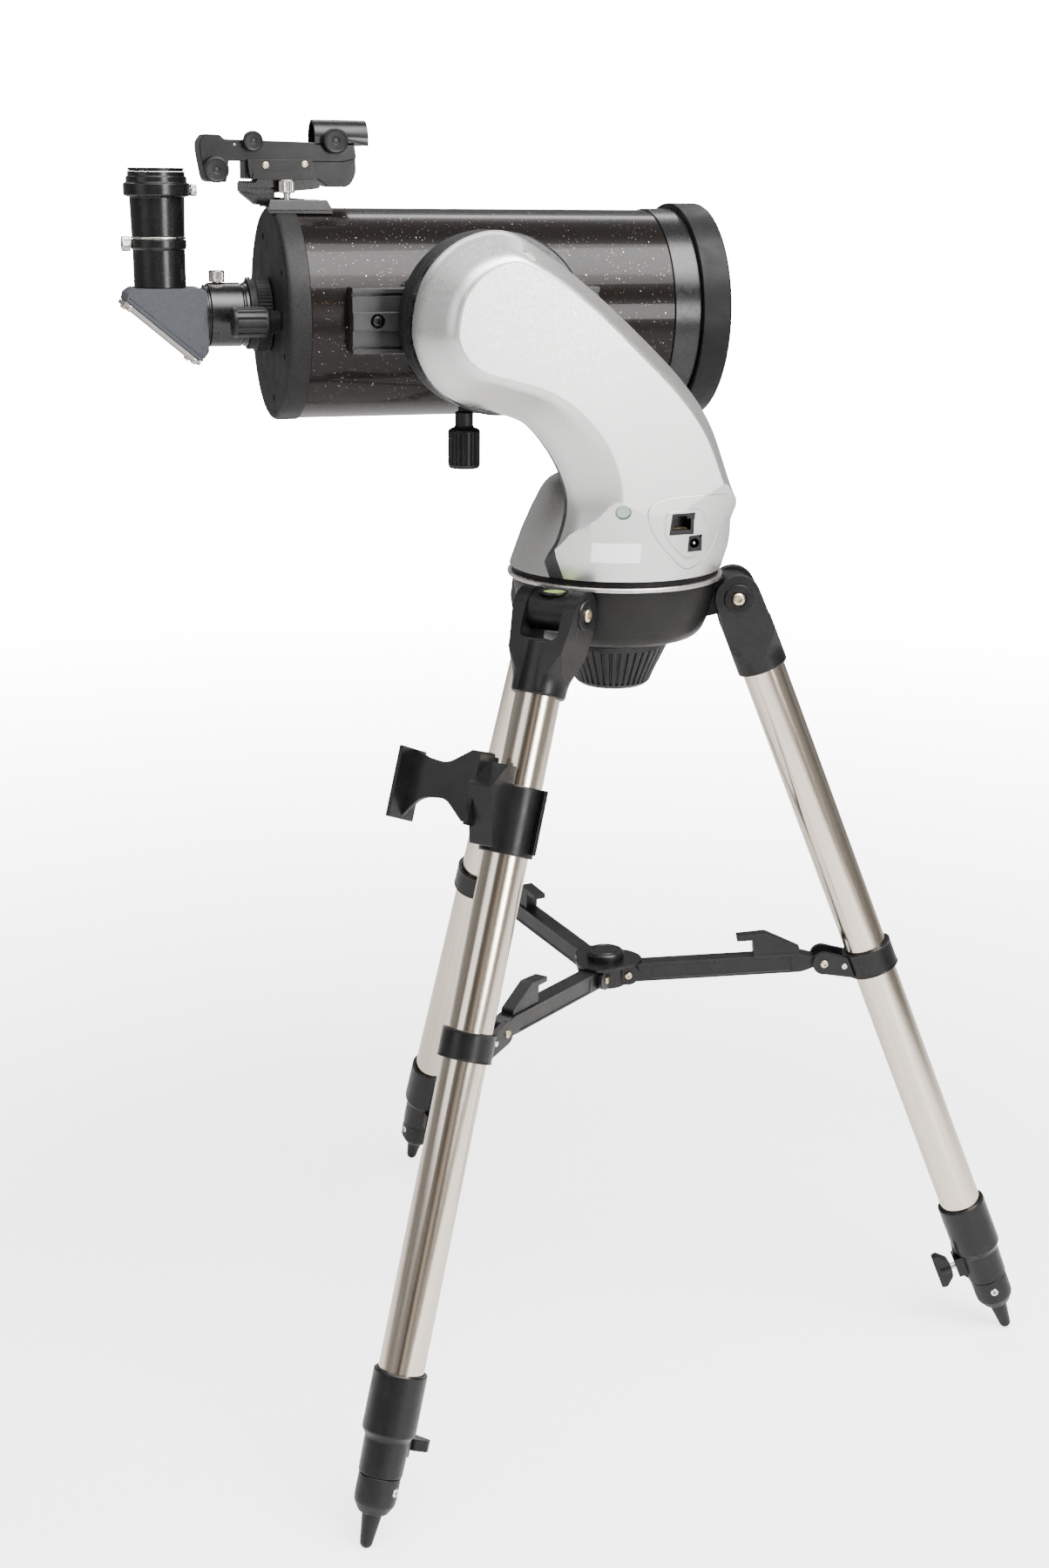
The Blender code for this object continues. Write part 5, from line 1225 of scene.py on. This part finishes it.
def leg_lower(place, number, body):
    profile = [
        (0.0182, SLEEVE_TOP), (0.0187, -0.5308), (0.0187, -0.571, 0.001), (0.0164, -0.5742, 0.001),
        (0.0158, -0.576), (0.0153, -0.5994), (0.0149, SLEEVE_END), (INNER_R + GAP, SLEEVE_END),
        (INNER_R + GAP, SLEEVE_SEAT), (LEG_TUBE_R + GAP, SLEEVE_SEAT), (LEG_TUBE_R + GAP, SLEEVE_TOP),
    ]
    clamp = lathe(profile, sides=112, ring=True)
    boss = box((-0.0215, -0.0075, -0.5905), (-0.014, 0.0075, -0.5745))
    rib = [(-0.0168, -0.55), (-0.0205, -0.5745), (-0.0205, -0.5905), (-0.015, -0.598), (-0.015, -0.55)]
    clamp = fuse(clamp, boss, prism(rib, -0.002, 0.002))
    screw_hole = rod(0.003, -0.03, -0.01, (0, 0, -CLAMP_S), "X", 32)
    clamp = cut(clamp, screw_hole, rod(INNER_R + GAP, -0.62, -0.57, sides=96))
    clamp = moved(clamp, WORLD.inverted() @ place)
    show(f"clamp_{number}", clamp, body, "plastic_black", [f"leg_clamp_{number}"], bevel=0.0005)
    stud = moved(rod(0.0026, -0.027, -0.0135, axis="X", sides=32), shifted(0, 0, -CLAMP_S))
    screw_body = f"leg_clamp_screw_{number}"
    show(f"clamp_stud_{number}", stud, screw_body, "nickel", (), place, bevel=0.0003)
    wing = [
        (-0.0375, -0.0138, 0.002), (-0.0375, 0.0138, 0.002), (-0.033, 0.0142, 0.001),
        (-0.0262, 0.0075, 0.002), (-0.0255, 0.005), (-0.0255, -0.005), (-0.0262, -0.0075, 0.002),
        (-0.033, -0.0142, 0.001),
    ]
    grip = prism(wing, -0.004, 0.004)
    barrel = rod(0.0052, -0.034, -0.0252, axis="X", sides=48)
    grip = fuse(grip, barrel)
    if number == 1:
        grip = moved(grip, Matrix.Rotation(math.pi / 2, 4, "X"))
    grip = moved(grip, shifted(0, 0, -CLAMP_S))
    show(f"wing_{number}", grip, screw_body, "plastic_black", [f"clamp_knob_{number}"], place, bevel=0.0008)
    ball = [
        (FOOT_BALL * math.cos(math.radians(a)), -FOOT_S + FOOT_BALL * math.sin(math.radians(a)), 0)
        for a in range(0, -76, -15)
    ]
    foot = [
        (0, -0.599), (0.0125, -0.599), (0.0125, -0.6003), (0.0142, -0.6006), (0.0146, -0.6012),
        (0.0146, -0.615), (0.0142, -0.6196, 0.001), (0.0102, -0.6262, 0.001), (0.007, -0.6275), *ball,
        (0, -FOOT_S - FOOT_BALL),
    ]
    work = moved(lathe(foot), WORLD.inverted() @ place)
    show(
        f"foot_{number}", work, f"lower_leg_{number}", "plastic_black", [f"lower_leg_{number}"],
        paint="knob_rubber",
    )
    inner = tube(INNER_R, INNER_R - 0.0012, SLEEVE_END, -0.15)
    show(f"inner_tube_{number}", inner, f"lower_leg_{number}", "plastic_black", (), place)
    for k, turn in enumerate((90, -90)):
        out = Vector((math.cos(math.radians(turn)), math.sin(math.radians(turn)), 0))
        spot = out * 0.0142 + Vector((0, 0, -0.6095))
        screw(
            f"foot_screw_{number}_{k}", f"lower_leg_{number}", spot, out, 0.003, 0.001, "bright_screw",
            place, True,
        )


def leg_collar(place, number, body):
    band = [
        (0.019, -0.2962, 0.0006), (0.0194, COLLAR_TOP, 0.0005), (LEG_TUBE_R + GAP, COLLAR_TOP),
        (LEG_TUBE_R + GAP, COLLAR_END), (0.0194, COLLAR_END, 0.0005), (0.019, -0.3138, 0.0006),
    ]
    collar = lathe(band, ring=True)
    for side in (-1, 1):
        outline = [(-0.0165, -0.3135), (-0.0165, -0.296, 0.001)]
        outline += sharp(arc((-SPREAD_IN, -SPREAD_S), 0.0087, 60, 255, 20))
        near, far = sorted((side * 0.0069, side * 0.011))
        collar = fuse(collar, prism(outline, near, far))
    show(
        f"collar_{number}", collar, body, "plastic_black", [f"spreader_collar_{number}"], place,
        bevel=0.0005,
    )
    for flank in (-1, 1):
        spot = (-SPREAD_IN, flank * 0.0109, -SPREAD_S)
        screw(f"ear_bolt_{number}_{flank + 2}", body, spot, (0, flank, 0), 0.003, 0.0016, place=place)
        spot = (-0.021, flank * 0.0109, -0.3015)
        screw(
            f"band_bolt_{number}_{flank + 2}", body, spot, (0, flank, 0), 0.0022, 0.001, "bright_screw",
            place,
        )


def handset_clip(place):
    body = "leg_1"
    band = [
        (0.0188, CLIP_TOP), (0.0195, -0.1247, 0.0004), (0.0195, -0.1713, 0.0004), (0.0188, CLIP_END),
        (LEG_TUBE_R + GAP, CLIP_END), (LEG_TUBE_R + GAP, CLIP_TOP),
    ]
    clip = cut(lathe(band, ring=True), box((-0.03, 0.003, -0.18), (-0.004, 0.03, -0.11)))
    lip = [(-0.005, 0.0158), (-0.0035, 0.0185), (0.0035, 0.025), (0.0062, 0.024), (0.0, 0.0168)]
    bridge = [(0.017, -0.112), (0.03, -0.112), (0.048, -0.13), (0.03, -0.169), (0.017, -0.169)]
    spine = [
        (-0.01, -0.106), (-0.026, -0.106), (-0.044, -0.118, 0.006), (-0.06, -0.116, 0.006),
        (-0.072, -0.112), (-0.072, -0.16), (-0.06, -0.144, 0.008), (-0.04, -0.142, 0.006),
        (-0.024, -0.156, 0.002), (-0.01, -0.156),
    ]
    end_plate = [(-0.0745, -0.162), (-0.0715, -0.162), (-0.0715, -0.112), (-0.0745, -0.112)]
    near_plate = [(-0.013, -0.158), (-0.01, -0.158), (-0.01, -0.108), (-0.013, -0.108)]
    parts = [
        prism(lip, -0.169, CLIP_TOP, "XY", 0.0006),
        prism(bridge, -0.013, 0.005),
        prism(spine, 0.024, 0.028, "YZ"),
        prism(end_plate, 0.012, 0.044, "YZ"),
        prism(near_plate, 0.018, 0.044, "YZ"),
    ]
    show("handset_clip", fuse(clip, *parts), body, "plastic_black", ["handset_holder"], place, bevel=0.0007)


def legs():
    for number, azimuth in enumerate(LEG_AZIMUTHS, 1):
        place, body = leg_place(azimuth), f"leg_{number}"
        leg_fork(place, number, body)
        shaft = tube(LEG_TUBE_R, LEG_TUBE_R - 0.0012, -0.56, -0.026, sides=144)
        show(f"shaft_{number}", shaft, body, "steel", [f"leg_tube_{number}"], place)
        leg_lower(place, number, body)
        leg_collar(place, number, body)
    handset_clip(leg_place(LEG_AZIMUTHS[0]))


def spreader():
    lobes = []
    for azimuth in range(0, 360, 3):
        swell = 0.5 + 0.5 * math.cos(math.radians(3 * (azimuth - LEG_AZIMUTHS[0])))
        radius = 0.0222 + 0.0056 * swell**0.7
        lobes.append((radius * math.cos(math.radians(azimuth)), radius * math.sin(math.radians(azimuth))))
    parts, slots = [lathe([(0, 0.3172), (0.0165, 0.3172), (0.0165, 0.298), (0, 0.298)])], []
    for azimuth in LEG_AZIMUTHS:
        spin = turned(azimuth, "Z")
        slot = box((0.008, -ARM_W / 2 - 0.0005, 0.29), (0.04, ARM_W / 2 + 0.0005, 0.3158))
        slots.append(moved(slot, spin))
        for side in (-1, 1):
            ear = [(0, 0.316), (0.019, 0.316)] + sharp(arc((0.0175, 0.3075), 0.0082, 80, -90, 16))
            near, far = sorted((side * (ARM_W / 2 + 0.0005), side * 0.0106))
            parts.append(moved(prism([*ear, (0, 0.2993)], near, far), spin))
    hub = fuse(prism(lobes, 0.315, 0.3175, "XY", 0), *parts)
    dish = [
        (0, 0.324), (0.0085, 0.324), (0.009, 0.3234), (0.0105, 0.3234), (0.011, 0.324), (0.0128, 0.324),
        (0.014, 0.3225), (0.014, 0.316), (0, 0.316),
    ]
    hub = fuse(cut(hub, *slots), lathe(dish, sides=8 * 12, fillet=0.0003))
    show("spreader_block", hub, "spreader", "plastic_black", ["spreader_hub"], bevel=0.0005)
    tilt = math.radians(LEG_TILT)
    out = HINGE_R + SPREAD_S * math.sin(tilt) - SPREAD_IN * math.cos(tilt) - HUB_PIVOT_R
    up = HINGE_Z - SPREAD_S * math.cos(tilt) - SPREAD_IN * math.sin(tilt) - HUB_Z
    length, rise = math.hypot(out, up), math.atan2(up, out)
    half, end = ARM_H / 2, length - 0.005
    for number, azimuth in enumerate(LEG_AZIMUTHS, 1):
        spin = turned(azimuth, "Z")
        place = WORLD @ spin @ shifted(HUB_PIVOT_R, 0, HUB_Z) @ Matrix.Rotation(-rise, 4, "Y")
        tip = arc((end - 0.0045, 0), 0.0045, -80, 80, 12)
        outline = [
            *sharp(arc((0, 0), half, 90, 270, 16)), (end - 0.012, -half, 0.004), *sharp(tip),
            (end - 0.012, half, 0.004),
        ]
        bar = prism(outline, -ARM_W / 2, ARM_W / 2)
        channel = [
            (0.02, -half + 0.0018), (end - 0.02, -half + 0.0018), (end - 0.02, half - 0.0018),
            (0.02, half - 0.0018),
        ]
        sides = [
            prism(channel, *sorted((side * (ARM_W / 2 - 0.0006), side * (ARM_W / 2 + 0.002))), fillet=0.001)
            for side in (-1, 1)
        ]
        hook = [
            (0.098, half - 0.001), (0.098, 0.02), (0.086, 0.02), (0.086, 0.024, 0.0004),
            (0.108, 0.025, 0.001), (0.134, 0.011, 0.001), (0.134, half - 0.001),
        ]
        latch = prism(hook, -0.005, 0.005, fillet=0.0004)
        bar = fuse(cut(bar, *sides), latch)
        body = f"spreader_arm_{number}"
        show(f"strut_{number}", bar, body, "plastic_black", [f"spreader_arm_{number}"], place, bevel=0.0005)
        pin_place = WORLD @ spin
        for flank in (-1, 1):
            spot = (HUB_PIVOT_R + 0.0015, flank * 0.0105, HUB_Z)
            screw(
                f"hub_bolt_{number}_{flank + 2}", "spreader", spot, (0, flank, 0), 0.0028, 0.0016,
                place=pin_place,
            )


optical_tube()
rear_fittings()
star_diagonal()
reflex_finder()
saddle_and_bar()
arm()
sockets()
base()
tripod_head()
legs()
spreader()


# Studio


def floor_paint():
    """A pale floor whose far part fades into the backdrop's white."""
    paint = Paint("pale_floor", (0.8, 0.795, 0.79), 0.55, Specular_IOR_Level=0.25)
    paint.tint(1.3, (0.775, 0.772, 0.772))
    paint.vary(3.0, 0.48, 0.62)
    away = paint.node("ShaderNodeVectorMath", {0: paint.place}, operation="LENGTH").outputs["Value"]
    seen = paint.node("ShaderNodeLightPath").outputs["Is Camera Ray"]
    glow = paint.node("ShaderNodeEmission", {"Color": (1, 1, 1, 1), "Strength": BACKDROP})
    fade = paint.spread(away, FLOOR_GLOW, 1.0, FADE_FROM, FADE_TO)
    share = paint.math("MULTIPLY", paint.math("POWER", fade, 2.0), seen)
    mix = paint.node("ShaderNodeMixShader", {0: share})
    output = paint.tree.nodes["Material Output"]
    paint.tree.links.new(paint.shader.outputs[0], mix.inputs[1])
    paint.tree.links.new(glow.outputs[0], mix.inputs[2])
    paint.tree.links.new(mix.outputs[0], output.inputs["Surface"])
    return paint.made


ROOM_LIGHT = 0.8  # world light that the surfaces get and reflect
BACKDROP = 22.0  # world light that the camera sees
FLOOR_GLOW = 0.34  # square root of the backdrop's share in the near floor
FADE_FROM, FADE_TO = 0.5, 3.4  # distances over which the floor fades


def studio_floor():
    work = bmesh.new()
    bmesh.ops.create_circle(work, cap_ends=True, segments=64, radius=30)
    mesh = bpy.data.meshes.new("studio_floor")
    work.to_mesh(mesh)
    work.free()
    floor = bpy.data.objects.new("studio_floor", mesh)
    bpy.context.scene.collection.objects.link(floor)
    floor.location.z = cad_low.z - 0.0002
    mesh.materials.append(floor_paint())


def ramp(tree, share, stops):
    """Colours read from (share, colour) stops."""
    made = tree.nodes.new("ShaderNodeValToRGB")
    tree.links.new(share, made.inputs[0])
    elements = made.color_ramp.elements
    for element, (place, colour) in zip(elements, (stops[0], stops[-1])):
        element.position, element.color = place, (*colour, 1)
    for place, colour in stops[1:-1]:
        elements.new(place).color = (*colour, 1)
    return made.outputs[0]


def share_of(tree, value, low, high=1.0):
    """The value's place between low and high, from 0 to 1."""
    made = tree.nodes.new("ShaderNodeMapRange")
    made.inputs["From Min"].default_value = low
    made.inputs["From Max"].default_value = high
    tree.links.new(value, made.inputs["Value"])
    return made.outputs[0]


def studio_world():
    """White to the camera; to the surfaces a room with darker and warmer bands to reflect."""
    world = bpy.data.worlds.new("studio")
    bpy.context.scene.world = world
    world.use_nodes = True
    tree = world.node_tree
    new, wire = tree.nodes.new, tree.links.new
    ground = tree.nodes["Background"]
    ground.inputs["Strength"].default_value = ROOM_LIGHT
    parts = new("ShaderNodeSeparateXYZ")
    wire(new("ShaderNodeTexCoord").outputs["Generated"], parts.inputs[0])
    azimuth = new("ShaderNodeMath")
    azimuth.operation = "ARCTAN2"
    wire(parts.outputs[1], azimuth.inputs[0])
    wire(parts.outputs[0], azimuth.inputs[1])
    around = ramp(tree, share_of(tree, azimuth.outputs[0], -math.pi, math.pi), AROUND)
    up = ramp(tree, share_of(tree, parts.outputs[2], -1.0), UPWARD)
    product = new("ShaderNodeMix")
    product.data_type, product.blend_type = "RGBA", "MULTIPLY"
    product.inputs[0].default_value = 1.0
    wire(around, product.inputs[6])
    wire(up, product.inputs[7])
    shown = new("ShaderNodeMix")
    shown.data_type = "RGBA"
    wire(new("ShaderNodeLightPath").outputs["Is Camera Ray"], shown.inputs[0])
    wire(product.outputs[2], shown.inputs[6])
    shown.inputs[7].default_value = (BACKDROP, BACKDROP, BACKDROP, 1)
    wire(shown.outputs[2], ground.inputs["Color"])


# Azimuth shares: 0.25 is -Y, 0.5 is +X, 0.75 is +Y. Colours of the room at those azimuths.
AROUND = (
    (0.0, (0.62, 0.6, 0.58)),
    (0.06, (0.95, 0.95, 0.95)),
    (0.12, (0.8, 0.79, 0.78)),
    (0.145, (0.45, 0.4, 0.36)),
    (0.17, (0.2, 0.17, 0.15)),
    (0.195, (1.6, 1.46, 1.28)),
    (0.215, (2.2, 2.05, 1.88)),
    (0.235, (0.55, 0.49, 0.43)),
    (0.265, (0.38, 0.36, 0.35)),
    (0.29, (1.8, 1.62, 1.38)),
    (0.31, (0.45, 0.4, 0.36)),
    (0.34, (1.2, 1.12, 1.02)),
    (0.4, (0.95, 0.94, 0.92)),
    (0.45, (0.35, 0.34, 0.34)),
    (0.5, (0.8, 0.8, 0.8)),
    (0.62, (0.8, 0.8, 0.8)),
    (0.75, (1.0, 1.0, 1.0)),
    (0.9, (0.9, 0.9, 0.9)),
    (1.0, (0.62, 0.6, 0.58)),
)
# Height shares: 0.5 is the horizon, 1 is straight up.
UPWARD = (
    (0.0, (0.9, 0.9, 0.9)),
    (0.35, (0.7, 0.7, 0.7)),
    (0.5, (0.52, 0.52, 0.52)),
    (0.78, (0.26, 0.26, 0.26)),
    (0.84, (1.0, 1.0, 1.0)),
    (0.88, (1.0, 1.0, 1.0)),
    (0.91, (0.4, 0.4, 0.4)),
    (1.0, (0.4, 0.4, 0.4)),
)


def soft_light(name, place, target, size, power, colour=(1, 1, 1), tall=None):
    lamp = bpy.data.lights.new(name, "AREA")
    lamp.shape = "RECTANGLE"
    lamp.size, lamp.size_y = size, tall or size
    lamp.energy, lamp.color = power, colour
    made = bpy.data.objects.new(name, lamp)
    bpy.context.scene.collection.objects.link(made)
    made.location = place
    made.rotation_mode = "QUATERNION"
    made.rotation_quaternion = (Vector(target) - Vector(place)).to_track_quat("-Z", "Y")


def studio_lights():
    middle = (0, 0, 0.6)
    soft_light("key", (0.6, -1.3, 2.6), middle, 1.7, 112.0, (1.0, 0.985, 0.965))
    soft_light("front", (0.78, -2.4, 0.92), (0, 0, 0.8), 0.7, 34.0, (1.0, 0.99, 0.975))
    soft_light("fill", (-2.4, -1.0, 1.5), middle, 1.4, 14.0, (0.97, 0.98, 1.0))
    soft_light("ceiling", (0, -1.05, 2.7), (0, -1.05, 0), 3.0, 155.0, tall=1.7)
    soft_light("rear", (0, 1.7, 2.5), (0, 0.05, 0.86), 3.0, 26.0, tall=0.35)


CAMERA_PLACE = (-0.49741, -1.42947, 0.89257)
CAMERA_TURN, CAMERA_PITCH, CAMERA_ROLL = -17.65, 16.55, 0.65
CAMERA_LENS, CAMERA_FILM = 46.89, 36.0


def studio_camera():
    """The camera, a little above the tube and to its left."""
    turn, pitch, roll = (math.radians(angle) for angle in (CAMERA_TURN, CAMERA_PITCH, CAMERA_ROLL))
    forward = Vector(
        (-math.sin(turn) * math.cos(pitch), math.cos(turn) * math.cos(pitch), -math.sin(pitch))
    )
    right = Vector((math.cos(turn), math.sin(turn), 0))
    upward = right.cross(forward)
    x_axis = right * math.cos(roll) + upward * math.sin(roll)
    y_axis = upward * math.cos(roll) - right * math.sin(roll)
    lens = bpy.data.cameras.new("camera")
    lens.lens, lens.sensor_width, lens.sensor_fit = CAMERA_LENS, CAMERA_FILM, "AUTO"
    lens.clip_start, lens.clip_end = 0.05, 200.0
    made = bpy.data.objects.new("camera", lens)
    bpy.context.scene.collection.objects.link(made)
    axes = Matrix((x_axis, y_axis, -forward)).transposed().to_4x4()
    made.matrix_world = shifted(*CAMERA_PLACE) @ axes
    bpy.context.scene.camera = made


studio_floor()
studio_world()
studio_lights()
studio_camera()
